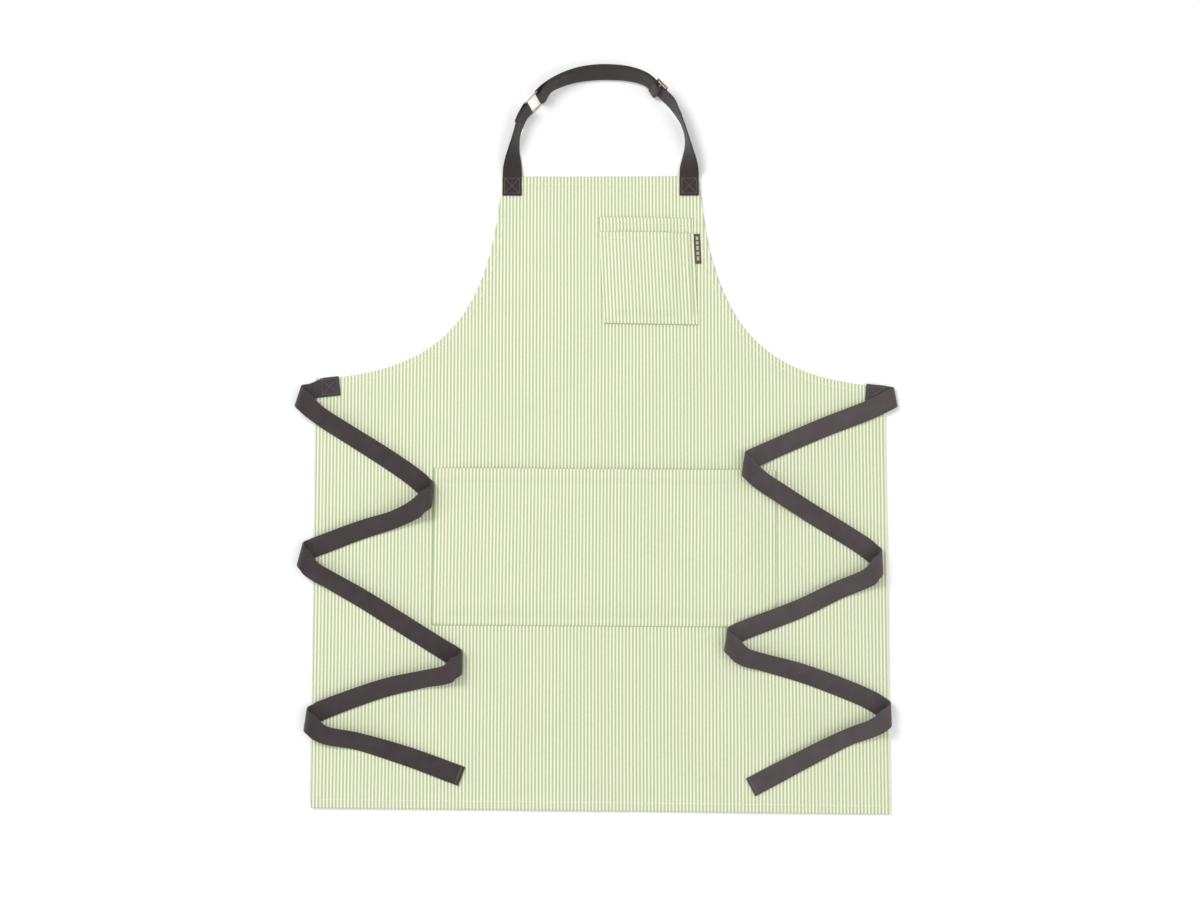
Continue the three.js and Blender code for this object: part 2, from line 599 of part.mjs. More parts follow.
function sliderGeometry() {
  const railY = WEB_WIDTH / 2 + GAP + 0.5 + WIRE / 2;
  const fullWidth = 2 * railY + WIRE;
  const box = (x, y, z, cx, cy, cz) => new THREE.BoxGeometry(x, y, z).translate(cx, cy, cz);
  const outerX = (SLIDER_LENGTH - WIRE) / 2;
  const pieces = [
    box(WIRE, fullWidth, WIRE, -outerX, 0, PLATE_OFFSET),
    box(WIRE, fullWidth, WIRE, outerX, 0, PLATE_OFFSET),
    box(WIRE, fullWidth, WIRE, 0, 0, -CENTRE_BAR_SETBACK),
  ];
  for (const edge of [-1, 1]) {
    pieces.push(box(SLIDER_LENGTH, WIRE, WIRE, 0, edge * railY, PLATE_OFFSET));
    const crank = PLATE_OFFSET + CENTRE_BAR_SETBACK;
    pieces.push(box(WIRE, WIRE, crank, 0, edge * railY, (PLATE_OFFSET - CENTRE_BAR_SETBACK) / 2));
  }
  return unite(pieces);
}

const sliderFace = sliderAcross.clone().cross(SLIDER_DIRECTION); // away from the loop's inside
const sliderFrame = new THREE.Matrix4()
  .makeBasis(SLIDER_DIRECTION, sliderAcross.clone().negate(), sliderFace)
  .setPosition(sliderCentre);

// In the slider's own axes: x along the strap towards the bib, y across it, z out of the loop.
function endLoopStations() {
  const bar = new THREE.Vector3(0, 0, -CENTRE_BAR_SETBACK);
  const across = new THREE.Vector3(0, 1, 0);
  const level = -LAYER_STEP;
  const start = -SLIDER_LENGTH / 2 - 2;
  const along = new THREE.Vector3(1, 0, 0);
  const lead = [start, start / 2].map((x) => ({ point: new THREE.Vector3(x, 0, level), across: across.clone() }));
  const turn = halfTurn(bar, new THREE.Vector3(0, 0, 1), along, END_LOOP_RADIUS, across, 8);
  const tail = [[start / 3, 2 * END_LOOP_RADIUS - 0.6], [start / 1.5, LAYER_STEP + 0.4], [start, LAYER_STEP]]
    .map(([x, down]) => ({ point: new THREE.Vector3(x, 0, level - down), across: across.clone() }));
  return [...lead, ...turn, ...tail].map(({ point, across: a }) => ({
    point: point.applyMatrix4(sliderFrame),
    across: a.transformDirection(sliderFrame),
  }));
}

function addNeckLoop() {
  const short = shortStrapStations();
  const long = longStrapStations();
  const endLoop = endLoopStations();
  addPiece("neck_strap_short", webbingGeometry(short), WEBBING);
  addPiece("neck_strap_long", webbingGeometry(long), WEBBING);
  addPiece("slider_end_loop", webbingGeometry(endLoop), WEBBING);
  addPiece("short_strap_bar_tack", barTack(short, short.length - 3, 1), THREAD_DARK);
  addPiece("slider_loop_bar_tack", barTack(endLoop, endLoop.length - 2, 1), THREAD_DARK);
  addPiece("strap_ring", ringGeometry(), BRASS);
  addPiece("slider", sliderGeometry().applyMatrix4(sliderFrame), BRASS);
}

// ---- waist ties ----
// A route starts at the waist corner and leads the tie to and fro over the skirt. Each row is
// x, y from the corner, z above the table and the lean in degrees of the edge nearer the bib.
// At a bend the tie rolls upwards and back over itself: `bend` is the roll's radius, `at` is the
// place of its outermost line and `low` the height it starts from, where that isn't the panel's.
const LEFT_FIRST_BEND = { bend: 7.6, at: [-23, -11] };
const RIGHT_FIRST_BEND = { bend: 1.7, at: [14, -2.6] };
const TIE_LEFT_ROUTE = [
  LEFT_FIRST_BEND,
  [4.5, -37.3, 13, 22], [37, -58.3, 9.6, 20], [92, -92.8, 7, 14], [126, -116.3, 6.5, 12],
  { bend: 8.5, at: [153.4, -141.8] }, [129, -161.8, 16.5, 22], [104, -173.8, 12.5, 28],
  [62, -186.8, 8.5, 20], [8.5, -206.8, 6.5, 14], { bend: 7.5, at: [-17.5, -217.8] },
  [0, -239.8, 15, 20], [22, -252.8, 11.6, 24], [64, -276.8, 7.8, 18], [132, -319.3, 6.8, 14],
  [168, -341.8, 6.3, 12], { bend: 8, at: [193.5, -358.8] }, [172, -374.3, 15.5, 22],
  [145, -379.8, 12.6, 28], [92, -391.8, 7.8, 20], [16, -418.8, 6.4, 14],
  { bend: 8, at: [-7.5, -430.8] }, [16, -450.8, 15, 22], [60, -459.8, 10.6, 26],
  [128.5, -480.8, 5.3, 11], [172.9, -497.2, 3.8, 0], [193.5, -504.8, 3.6, 0],
];
const TIE_RIGHT_ROUTE = [
  RIGHT_FIRST_BEND,
  [-18.5, -18.8, 7.2, 9], [-81, -43.3, 6.8, 12], [-144, -70.3, 7.4, 14],
  { bend: 5.5, at: [-186.5, -91.3], low: 9.6 }, [-165, -112.3, 17, 18], [-141, -128.3, 14.5, 16],
  [-99, -155.3, 10.5, 14], [-57, -181.3, 7.2, 14], [-33, -196.8, 6.5, 14],
  { bend: 7.5, at: [-7, -218.3] }, [-27, -239.3, 14.5, 20], [-65, -255.8, 9.6, 21],
  [-113, -278.8, 7, 16], [-165, -298.8, 6.8, 14], [-187, -307.3, 6.6, 12],
  { bend: 7.5, at: [-210.5, -319.3] }, [-187, -341.3, 15, 22], [-163.5, -348.3, 12.4, 28],
  [-113, -362.3, 7.8, 19], [-49.5, -385.8, 6.5, 14], [-26, -396.3, 6.2, 14],
  { bend: 7.5, at: [1.5, -414.3] }, [-22, -432.3, 14.5, 24], [-55, -444.8, 11, 27],
  [-107, -470.8, 6.4, 14], [-160, -498.6, 3.8, 0], [-179.5, -508.8, 3.6, 0],
];
const TIE_STEP = 24; // length of tie between stations, away from the bends
const BEND_STEPS = 8;
const TIE_CLEARANCE = GAP + THREAD + GAP + 0.3;

const level = (v) => new THREE.Vector3(v.x, v.y, 0).normalize();

// One roll: the tie arrives level along `arrival`, climbs round a line square to `outwards`, and
// leaves level along the mirrored direction. Its width turns with it.
function rollStations(place, radius, arrival, departure, low) {
  const axis = level(arrival.clone().add(departure));
  const drift = arrival.dot(axis);
  const outwards = arrival.clone().addScaledVector(axis, -drift).normalize();
  const pace = Math.sqrt(1 - drift * drift);
  const width = new THREE.Vector3(-arrival.y, arrival.x, 0);
  if (width.y < 0) width.negate();
  const middle = place.clone().addScaledVector(outwards, -radius).setZ(low + radius);
  const angles = Array.from({ length: BEND_STEPS + 1 }, (_, i) => (Math.PI * i) / BEND_STEPS);
  return angles.map((angle) => {
    const climb = new THREE.Vector3().addScaledVector(outwards, radius * Math.sin(angle));
    climb.addScaledVector(up, -radius * Math.cos(angle));
    climb.addScaledVector(axis, (drift * radius * (angle - Math.PI / 2)) / pace);
    const across = new THREE.Vector3().addScaledVector(axis, width.dot(axis));
    across.addScaledVector(outwards, width.dot(outwards) * Math.cos(angle));
    across.addScaledVector(up, width.dot(outwards) * Math.sin(angle));
    return { point: middle.clone().add(climb), across, lean: 0 };
  });
}

// The stretch between two bends, or from the last bend to the tie's end.
function runStations(rows) {
  const curve = new THREE.CatmullRomCurve3(rows.map((row) => row.point), false, "centripetal");
  const stations = [];
  rows.slice(1).forEach((row, i) => {
    const before = rows[i];
    const count = Math.max(1, Math.round(row.point.distanceTo(before.point) / TIE_STEP));
    for (let k = 1; k <= count; k += 1) {
      const along = (i + k / count) / (rows.length - 1);
      const tangent = level(curve.getTangent(along));
      const outward = new THREE.Vector3(-tangent.y, tangent.x, 0);
      if (outward.y < 0) outward.negate();
      const lean = THREE.MathUtils.lerp(before.lean, row.lean, k / count);
      stations.push({ point: curve.getPoint(along), across: leaning(outward, lean) });
    }
  });
  return stations;
}

// Height of the highest cloth or thread under a place of the skirt.
function skirtTop(x, y) {
  if (Math.abs(x) > SKIRT_WIDTH / 2 + 1) return 0;
  const turn = THREE.MathUtils.degToRad(LAP_TURN);
  const middle = new THREE.Vector2();
  const local = new THREE.Vector2(x - LAP_CENTRE_X, y - LAP_BOTTOM_Y).rotateAround(middle, -turn);
  const onLap = Math.abs(local.x) < LAP_WIDTH / 2 + 2 && local.y > -2 && local.y < LAP_HEIGHT + 2;
  return (onLap ? lapBottom(local.x, Math.min(local.y + 3, LAP_HEIGHT)) + CLOTH : PANEL_TOP) + TIE_CLEARANCE;
}

// Raises each station whose edges would touch what lies under them.
function clearOfSkirt(stations) {
  const tangents = stationTangents(stations);
  return stations.map(({ point, across }, i) => {
    const normal = tangents[i].clone().cross(across).normalize();
    let short = 0;
    for (const edge of [-1, -0.75, -0.5, -0.25, 0, 0.25, 0.5, 0.75, 1]) {
      for (const face of [-1, 1]) {
        const corner = point.clone()
          .addScaledVector(across, (edge * WEB_WIDTH) / 2)
          .addScaledVector(normal, (face * WEB_THICK) / 2);
        short = Math.max(short, skirtTop(corner.x, corner.y) + GAP - corner.z);
      }
    }
    return { point: point.clone().setZ(point.z + short), across: across.clone() };
  });
}

// Where a tie leaves its sewn end, and its heading there.
function tieRoot(side) {
  const tilt = THREE.MathUtils.degToRad(WAIST_END_TILT);
  const heading = new THREE.Vector3(side * Math.cos(tilt), -Math.sin(tilt), 0);
  const corner = waistCorner(side);
  const root = new THREE.Vector3(corner.x - side * waistEndInset(side), corner.y + 1, WEB_MIDDLE);
  return { heading, root: root.addScaledVector(heading, SEWN_LENGTH / 2 + 2 * GAP) };
}

function tieStations(route, side) {
  const { heading, root } = tieRoot(side);
  const corner = waistCorner(side);
  const across = new THREE.Vector3(-heading.y, heading.x, 0).multiplyScalar(side);
  const placed = (row) => new THREE.Vector3(corner.x + row[0], corner.y + row[1], row[2]);
  const lead = root.clone().addScaledVector(heading, 5);
  let stations = [{ point: root, across }, { point: lead, across: across.clone() }];
  let rows = [];
  route.forEach((row, i) => {
    if (!row.bend) {
      rows.push({ point: placed(row), lean: row[3] });
      return;
    }
    const place = placed([...row.at, 0]);
    const before = rows.length ? rows[rows.length - 1].point : root;
    const next = placed(route[i + 1]);
    const low = row.low ?? (rows.length ? WEB_MIDDLE + TIE_CLEARANCE : WEB_MIDDLE);
    let roll = [{ point: place }, { point: place }];
    for (let pass = 0; pass < 4; pass += 1) {
      const arrival = rows.length ? level(roll[0].point.clone().sub(before)) : heading;
      const departure = level(next.clone().sub(roll[roll.length - 1].point));
      roll = rollStations(place, row.bend, arrival, departure, low);
    }
    if (rows.length) stations = stations.concat(runStations([...rows, roll[0]]), roll.slice(1));
    else stations = stations.concat(roll);
    rows = [roll[BEND_STEPS]];
  });
  stations = squareAcross(stations.concat(runStations(rows)));
  for (let pass = 0; pass < 3; pass += 1) stations = squareAcross(clearOfSkirt(stations));
  return stations;
}

// The four corners of the strap's section at a station.
function sectionCorners({ point, across }, tangent) {
  const normal = tangent.clone().cross(across).normalize();
  return [[-1, -1], [-1, 1], [1, -1], [1, 1]].map(([edge, face]) => point.clone()
    .addScaledVector(across, (edge * WEB_WIDTH) / 2)
    .addScaledVector(normal, (face * WEB_THICK) / 2));
}

// Leaves out each station whose section would cut into the section before it, as on a tight twist.
// The first stations are the crease, which stays as it is.
function withoutFolds(stations) {
  const tangents = stationTangents(stations);
  const corners = stations.map((station, i) => sectionCorners(station, tangents[i]));
  const fold = stations.findIndex((station, i) => {
    if (i < 3) return false;
    const step = station.point.clone().sub(stations[i - 1].point).normalize();
    return corners[i].some((corner, k) => corner.clone().sub(corners[i - 1][k]).dot(step) < GAP);
  });
  if (fold < 0 || stations.length < 3) return stations;
  const dropped = fold === stations.length - 1 ? fold - 1 : fold;
  return withoutFolds(squareAcross(stations.filter((_, i) => i !== dropped)));
}

// Takes a little off one end of a run of stations, so that two runs that meet keep a gap.
function trimmed(stations, atStart, distance) {
  const copy = stations.map(({ point, across }) => ({ point: point.clone(), across: across.clone() }));
  const spacing = (i, j) => copy[i].point.distanceTo(copy[j].point);
  const ends = () => (atStart ? [0, 1] : [copy.length - 1, copy.length - 2]);
  while (copy.length > 2 && spacing(...ends()) < distance + GAP) {
    copy.splice(atStart ? 1 : copy.length - 2, 1);
  }
  const end = atStart ? 0 : copy.length - 1;
  const next = atStart ? 1 : copy.length - 2;
  const inwards = copy[next].point.clone().sub(copy[end].point).normalize();
  copy[end].point.addScaledVector(inwards, distance);
  return copy;
}

const FOLD_STATION = 2 + BEND_STEPS / 2; // the outermost line of a tie's first bend

function addTie(name, route, side) {
  const stations = tieStations(route, side);
  const start = trimmed(stations.slice(0, FOLD_STATION + 1), false, FOLD_GAP);
  const rest = withoutFolds(trimmed(stations.slice(FOLD_STATION), true, FOLD_GAP));
  addPiece(`${name}_start`, webbingGeometry(start), WEBBING);
  addPiece(name, webbingGeometry(rest), WEBBING);
  const end = rest[rest.length - 1];
  const inwards = rest[rest.length - 2].point.clone().sub(end.point).normalize();
  const seam = [END_HEM + 1, END_HEM, END_HEM - 1].map((distance) => ({
    point: end.point.clone().addScaledVector(inwards, distance),
    across: end.across,
  }));
  const upperFace = Math.sign(stationTangents(seam)[1].cross(end.across).z);
  addPiece(`${name}_end_stitching`, barTack(seam, 1, upperFace), THREAD_DARK);
}

function addTies() {
  addTie("tie_left", TIE_LEFT_ROUTE, -1);
  addTie("tie_right", TIE_RIGHT_ROUTE, 1);
}

// ---- hem stitching on the panel ----
function addHemThreads() {
  const z = PANEL_TOP + GAP + THREAD / 2;
  const half = SKIRT_WIDTH / 2;
  const at = (x, y) => new THREE.Vector3(x, y, z);
  const hemLine = HEM_WIDTH - STITCH_INSET;
  const side = half - STITCH_INSET / 2 - 1;
  const low = hemLine + LAY_SKEW;
  const add = (name, points) => addPiece(name, threadGeometry(points), THREAD_CREAM);
  add("bottom_hem_thread", [at(-side + 3, hemY(-side) + hemLine), at(side - 3, hemY(side) + hemLine)]);
  add("side_hem_thread_left", [at(-side, low), at(-side, WAIST_HEIGHT_LEFT - WEB_WIDTH - 4)]);
  add("side_hem_thread_right", [at(side, low), at(side, WAIST_HEIGHT_RIGHT - WEB_WIDTH - 4)]);
  const topReach = BIB_WIDTH / 2 - WEB_WIDTH - 3;
  const topY = APRON_LENGTH - hemLine;
  add("top_hem_thread", [at(-topReach, topY), at(topReach, topY)]);
  for (const [name, hand] of [["armhole_thread_left", -1], ["armhole_thread_right", 1]]) {
    const run = armhole(hand).getPoints(20);
    const points = hand < 0 ? run : run.reverse();
    const line = bandShape(points, STITCH_INSET + 2, STITCH_INSET + 4).getPoints().slice(0, points.length);
    const [reach, rise] = [half - SEWN_LENGTH - 8, APRON_LENGTH - SEWN_LENGTH - 6];
    const clear = line.filter((p) => p.y < rise && Math.abs(p.x) < reach);
    add(name, clear.map((p) => at(p.x, p.y)));
  }
}

// ---- label ----
// It is caught in the chest pocket's side seam and sticks out over the panel.
function addLabel() {
  const label = new THREE.Group();
  const turn = THREE.MathUtils.degToRad(CHEST_TURN);
  const y = CHEST_REAR_HEIGHT - LABEL_DROP;
  const corner = new THREE.Vector2();
  const edge = new THREE.Vector2(CHEST_HALF + GAP - CHEST_LEAN * y, y).rotateAround(corner, turn);
  label.position.set(CHEST_CENTRE_X + edge.x, CHEST_BOTTOM_Y + edge.y, ON_PANEL + LABEL_THICK / 2);
  label.rotation.z = THREE.MathUtils.degToRad(LABEL_TURN);
  apron.add(label);
  const cloth = new THREE.BoxGeometry(LABEL_WIDTH, LABEL_LENGTH, LABEL_THICK);
  cloth.translate(LABEL_WIDTH / 2 + GAP, -LABEL_LENGTH / 2, 0);
  addPiece("pocket_label", cloth, LABEL_CLOTH, label);
}

addPanel();
addPockets();
addSewnEnds();
addNeckLoop();
addTies();
addHemThreads();
addLabel();

// ---- centre the object on its base, leaving the free ties out of the reckoning ----
const CORDS = /^tie_/;
const extent = new THREE.Box3();
apron.updateMatrixWorld(true);
apron.traverse((piece) => {
  if (piece.isMesh && !CORDS.test(piece.name)) extent.expandByObject(piece, true);
});
const middle = extent.getCenter(new THREE.Vector3());
apron.position.set(-middle.x, -middle.y, -extent.min.z);

export default apron;
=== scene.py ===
"""Striped bib apron with webbing neck loop, waist ties and pockets, lying flat on a table."""

import math
from collections import namedtuple

import bpy
from bpy.props import FloatProperty, FloatVectorProperty, PointerProperty
from bpy.types import Operator, Panel, PropertyGroup
from mathutils import Matrix, Vector, noise


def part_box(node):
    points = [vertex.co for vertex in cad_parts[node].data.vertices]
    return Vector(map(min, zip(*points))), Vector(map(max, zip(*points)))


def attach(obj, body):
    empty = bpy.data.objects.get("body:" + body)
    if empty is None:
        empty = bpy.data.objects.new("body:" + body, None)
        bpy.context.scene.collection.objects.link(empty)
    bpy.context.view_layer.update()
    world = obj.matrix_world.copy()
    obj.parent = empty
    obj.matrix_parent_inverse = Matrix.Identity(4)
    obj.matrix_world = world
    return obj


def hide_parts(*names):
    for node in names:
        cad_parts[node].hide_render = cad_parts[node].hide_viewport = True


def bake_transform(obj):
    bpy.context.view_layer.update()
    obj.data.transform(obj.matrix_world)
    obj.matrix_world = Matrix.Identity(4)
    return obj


bl_info = {
    "name": "Bib Apron",
    "version": (1, 0, 0),
    "blender": (4, 5, 0),
    "location": "3D Viewport > Sidebar > Apron",
    "description": "Builds a striped bib apron with a neck loop, waist ties and pockets",
    "category": "Add Mesh",
}

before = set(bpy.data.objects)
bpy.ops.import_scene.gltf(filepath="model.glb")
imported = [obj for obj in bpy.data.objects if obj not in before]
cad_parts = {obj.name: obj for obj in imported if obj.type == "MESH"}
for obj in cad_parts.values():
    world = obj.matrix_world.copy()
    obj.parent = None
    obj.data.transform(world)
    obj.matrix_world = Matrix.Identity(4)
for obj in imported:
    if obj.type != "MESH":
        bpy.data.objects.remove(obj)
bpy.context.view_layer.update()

# ---------------------------------------------------------------- the apron's own axes
# x = 0 on the centre line, y = 0 on the bottom edge, z = 0 on the table, in metres.
PANEL_LOW, PANEL_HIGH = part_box("body_panel")
APRON_LENGTH = 0.830
LAY_SKEW = 0.008
SKIRT_WIDTH = PANEL_HIGH.x - PANEL_LOW.x
HALF_SKIRT = SKIRT_WIDTH / 2
ORIGIN = Vector(((PANEL_LOW.x + PANEL_HIGH.x) / 2, PANEL_HIGH.y - APRON_LENGTH, 0))

BIB_WIDTH = 0.260
WAIST_HEIGHT = {-1: 0.561, 1: 0.551}
WAIST_FLAT = 0.026
CLOTH = 0.0008
GAP = 0.0003
HEM_WIDTH = 0.013
HEM_RISE = 0.0006
PANEL_BOTTOM = 0.0013
PANEL_TOP = PANEL_BOTTOM + CLOTH
ON_PANEL = PANEL_TOP + GAP

WEB_THICK = 0.0015
WEB_MIDDLE = ON_PANEL + WEB_THICK / 2
SEWN_LENGTH = 0.026
SEWN_OVERHANG = 0.0005
HALF_STITCHED_WEB = 0.0127
STITCH_INSET = 0.003

CHEST_WIDTH = 0.123
CHEST_REAR_HEIGHT = 0.141
CHEST_FRONT_HEIGHT = 0.121
CHEST_PLACE = (0.066, 0.633)
CHEST_TURN = math.radians(-1)
CHEST_LEAN = 0.06
PEN_SLOT_WIDTH = 0.015
PEN_SLOT_RISE = 0.0034
LAP_WIDTH = 0.446
LAP_HEIGHT = 0.203
LAP_PLACE = (0.004, 0.237)
LAP_TURN = math.radians(-0.4)
CHEST_RISE = 0.0016
LAP_RISE = 0.0030
POCKET_HEM = 0.015
CHEST_HEM = POCKET_HEM * 0.62
LAP_HEM = POCKET_HEM + 0.003
POCKET_HEM_RISE = 0.0007
THREAD_LIFT = 0.00018
SEAM_MARGIN = 0.004
PEN_MARGIN = 0.002
CHEST_RAMP = 0.016
LAP_RAMP = 0.022

TABLE_SIZE = 14
TABLE_LEVEL = -0.0001

WIRE = 0.002
RING_LENGTH = 0.024
RING_CENTRE = Vector((-0.088, 0.9275, 0.0154))
RING_DIRECTION = Vector((0.7, 0.72, 0)).normalized()
RING_LEAN = 71
RING_PLAY = 0.0018
SLIDER_LENGTH = 0.018
SLIDER_CENTRE = Vector((0.077, 0.944, 0.0169))
SLIDER_DIRECTION = Vector((0.7, -0.715, 0)).normalized()
SLIDER_LEAN = 70
STRAP_TAIL = 0.026
LAYER_STEP = WEB_THICK + GAP + 0.00015

WAIST_END_INSET = {-1: 0.017, 1: 0.012}
WAIST_END_TILT = math.radians(6)

UP = Vector((0, 0, 1))
Station = namedtuple("Station", "point across")
Row = namedtuple("Row", "point lean")
Bend = namedtuple("Bend", "x y radius low", defaults=(None,))

# Rows of a waist tie: x and y from the waist corner, height above the table, and the lean in
# degrees of the edge nearer the bib. A Bend rolls the tie upwards and back over itself.
LEFT_ROUTE = [
    Bend(-0.023, -0.011, 0.0076), (0.0045, -0.0373, 0.013, 22), (0.037, -0.0583, 0.0096, 20),
    (0.092, -0.0928, 0.007, 14), (0.126, -0.1163, 0.0065, 12), Bend(0.1534, -0.1418, 0.0085),
    (0.129, -0.1618, 0.0165, 22), (0.104, -0.1738, 0.0125, 28), (0.062, -0.1868, 0.0085, 20),
    (0.0085, -0.2068, 0.0065, 14), Bend(-0.0175, -0.2178, 0.0075), (0, -0.2398, 0.015, 20),
    (0.022, -0.2528, 0.0116, 24), (0.064, -0.2768, 0.0078, 18), (0.132, -0.3193, 0.0068, 14),
    (0.168, -0.3418, 0.0063, 12), Bend(0.1935, -0.3588, 0.008), (0.172, -0.3743, 0.0155, 22),
    (0.145, -0.3798, 0.0126, 28), (0.092, -0.3918, 0.0078, 20), (0.016, -0.4188, 0.0064, 14),
    Bend(-0.0075, -0.4308, 0.008), (0.016, -0.4508, 0.015, 22), (0.06, -0.4598, 0.0106, 26),
    (0.1285, -0.4808, 0.0053, 11), (0.1729, -0.4972, 0.0038, 0), (0.1935, -0.5048, 0.0036, 0),
]
RIGHT_ROUTE = [
    Bend(0.014, -0.0026, 0.0017), (-0.0185, -0.0188, 0.0072, 9), (-0.081, -0.0433, 0.0068, 12),
    (-0.144, -0.0703, 0.0074, 14), Bend(-0.1865, -0.0913, 0.0055, 0.0096),
    (-0.165, -0.1123, 0.017, 18), (-0.141, -0.1283, 0.0145, 16), (-0.099, -0.1553, 0.0105, 14),
    (-0.057, -0.1813, 0.0072, 14), (-0.033, -0.1968, 0.0065, 14), Bend(-0.007, -0.2183, 0.0075),
    (-0.027, -0.2393, 0.0145, 20), (-0.065, -0.2558, 0.0096, 21), (-0.113, -0.2788, 0.007, 16),
    (-0.165, -0.2988, 0.0068, 14), (-0.187, -0.3073, 0.0066, 12), Bend(-0.2105, -0.3193, 0.0075),
    (-0.187, -0.3413, 0.015, 22), (-0.1635, -0.3483, 0.0124, 28), (-0.113, -0.3623, 0.0078, 19),
    (-0.0495, -0.3858, 0.0065, 14), (-0.026, -0.3963, 0.0062, 14), Bend(0.0015, -0.4143, 0.0075),
    (-0.022, -0.4323, 0.0145, 24), (-0.055, -0.4448, 0.011, 27), (-0.107, -0.4708, 0.0064, 14),
    (-0.16, -0.4986, 0.0038, 0), (-0.1795, -0.5088, 0.0036, 0),
]
SHORT_ROUTE = [
    (-0.117, 0.8325, 0.0035, 4), (-0.117, 0.839, 0.0052, 12), (-0.1164, 0.8495, 0.0086, 34),
    (-0.1152, 0.8625, 0.0114, 56), (-0.113, 0.875, 0.0132, 68), (-0.1102, 0.888, 0.0142, 74),
    (-0.1068, 0.899, 0.015, 72), (-0.1025, 0.9085, 0.0154, 71),
]
LONG_ROUTE = [
    (0.1173, 0.8325, 0.0035, 4), (0.1173, 0.839, 0.0054, 14), (0.1172, 0.849, 0.0093, 40),
    (0.1165, 0.862, 0.0125, 64), (0.115, 0.875, 0.014, 80), (0.1122, 0.888, 0.0148, 87),
    (0.1075, 0.9015, 0.0156, 87), (0.101, 0.9145, 0.0165, 80), (0.0928, 0.9279, 0.0169, 70),
    (0.0848, 0.936, 0.0169, 70), (0.077, 0.944, 0.0169, 70), (0.0665, 0.9547, 0.0169, 70),
    (0.0585, 0.9602, 0.0163, 68), (0.047, 0.9648, 0.0152, 64), (0.0325, 0.9682, 0.0136, 60),
    (0.0125, 0.97, 0.0126, 57), (-0.0075, 0.9696, 0.0125, 57), (-0.0275, 0.9668, 0.013, 60),
    (-0.0435, 0.9622, 0.014, 65), (-0.057, 0.9564, 0.015, 69), (-0.068, 0.9502, 0.0154, 71),
]


def place(x, y, z=0.0):
    """A point of the apron's own axes, in the row frame."""
    return ORIGIN + Vector((x, y, z))


def smoothstep(value, ramp):
    t = min(max(value / ramp, 0.0), 1.0)
    return t * t * (3 - 2 * t)


def spread(low, high, count):
    return [low + (high - low) * i / count for i in range(count + 1)]


# ---------------------------------------------------------------- how the cloth lies
def rumple(x, y):
    """How far the laid cloth stands off the table at a place of the apron, from its own stiffness."""
    wide = noise.noise(Vector((x * 7.0 + 3.1, y * 5.5 + 7.7, 0.4)))
    middle = noise.noise(Vector((x * 19.0 + 11.0, y * 15.0 + 2.3, 5.2)))
    fine = noise.noise(Vector((x * 60.0, y * 48.0, 9.1)))
    by_label = math.exp(-(((x - 0.126) / 0.024) ** 2 + ((y - 0.733) / 0.036) ** 2))
    height = 0.0011 * (wide + 0.85) + 0.0005 * (middle + 0.8) + 0.00012 * (fine + 1.0)
    return height * (1 - 0.85 * by_label)


def hem_line(x):
    return -LAY_SKEW * x / SKIRT_WIDTH


def armhole_point(side, t):
    rise = APRON_LENGTH - WAIST_HEIGHT[side]
    reach = HALF_SKIRT - WAIST_FLAT - BIB_WIDTH / 2
    half = BIB_WIDTH / 2
    knots = [
        (half, APRON_LENGTH),
        (half + reach * 0.06, APRON_LENGTH - rise * 0.68),
        (half + reach * 0.34, WAIST_HEIGHT[side] + rise * 0.06),
        (half + reach, WAIST_HEIGHT[side]),
    ]
    weights = [(1 - t) ** 3, 3 * t * (1 - t) ** 2, 3 * t * t * (1 - t), t**3]
    x = sum(w * k[0] for w, k in zip(weights, knots))
    y = sum(w * k[1] for w, k in zip(weights, knots))
    return Vector((side * x, y, 0))


def chest_local(x, y):
    dx, dy = x - CHEST_PLACE[0], y - CHEST_PLACE[1]
    cos, sin = math.cos(-CHEST_TURN), math.sin(-CHEST_TURN)
    along, up = dx * cos - dy * sin, dx * sin + dy * cos
    return along + CHEST_LEAN * up, up


def chest_point(x, y):
    x = x - CHEST_LEAN * y
    cos, sin = math.cos(CHEST_TURN), math.sin(CHEST_TURN)
    return CHEST_PLACE[0] + x * cos - y * sin, CHEST_PLACE[1] + x * sin + y * cos


def lap_local(x, y):
    dx, dy = x - LAP_PLACE[0], y - LAP_PLACE[1]
    cos, sin = math.cos(-LAP_TURN), math.sin(-LAP_TURN)
    return dx * cos - dy * sin, dx * sin + dy * cos


def lap_point(x, y):
    cos, sin = math.cos(LAP_TURN), math.sin(LAP_TURN)
    return LAP_PLACE[0] + x * cos - y * sin, LAP_PLACE[1] + x * sin + y * cos


PEN_LINE = CHEST_WIDTH / 2 - PEN_SLOT_WIDTH
ARCH_WIDTH = PEN_SLOT_WIDTH - PEN_MARGIN - SEAM_MARGIN


def chest_rear_bottom(x, y):
    inside = min(PEN_LINE - PEN_MARGIN - x, x + CHEST_WIDTH / 2 - SEAM_MARGIN, y - SEAM_MARGIN)
    return ON_PANEL + CHEST_RISE * smoothstep(inside, CHEST_RAMP)


def chest_front_bottom(x, y):
    rear = chest_rear_bottom(x, y) + CLOTH + GAP
    from_bottom = smoothstep(y - SEAM_MARGIN, CHEST_RAMP)
    past = (x - PEN_LINE - PEN_MARGIN) / ARCH_WIDTH
    if past > 0:
        return rear + PEN_SLOT_RISE * math.sin(math.pi * min(past, 1)) * from_bottom
    inside = min(PEN_LINE - PEN_MARGIN - x, x + CHEST_WIDTH / 2 - SEAM_MARGIN)
    return rear + CHEST_RISE * smoothstep(inside, CHEST_RAMP) * from_bottom


def lap_bottom(x, y):
    inside = min(LAP_WIDTH / 2 - abs(x), y) - SEAM_MARGIN
    return ON_PANEL + LAP_RISE * smoothstep(inside, LAP_RAMP)


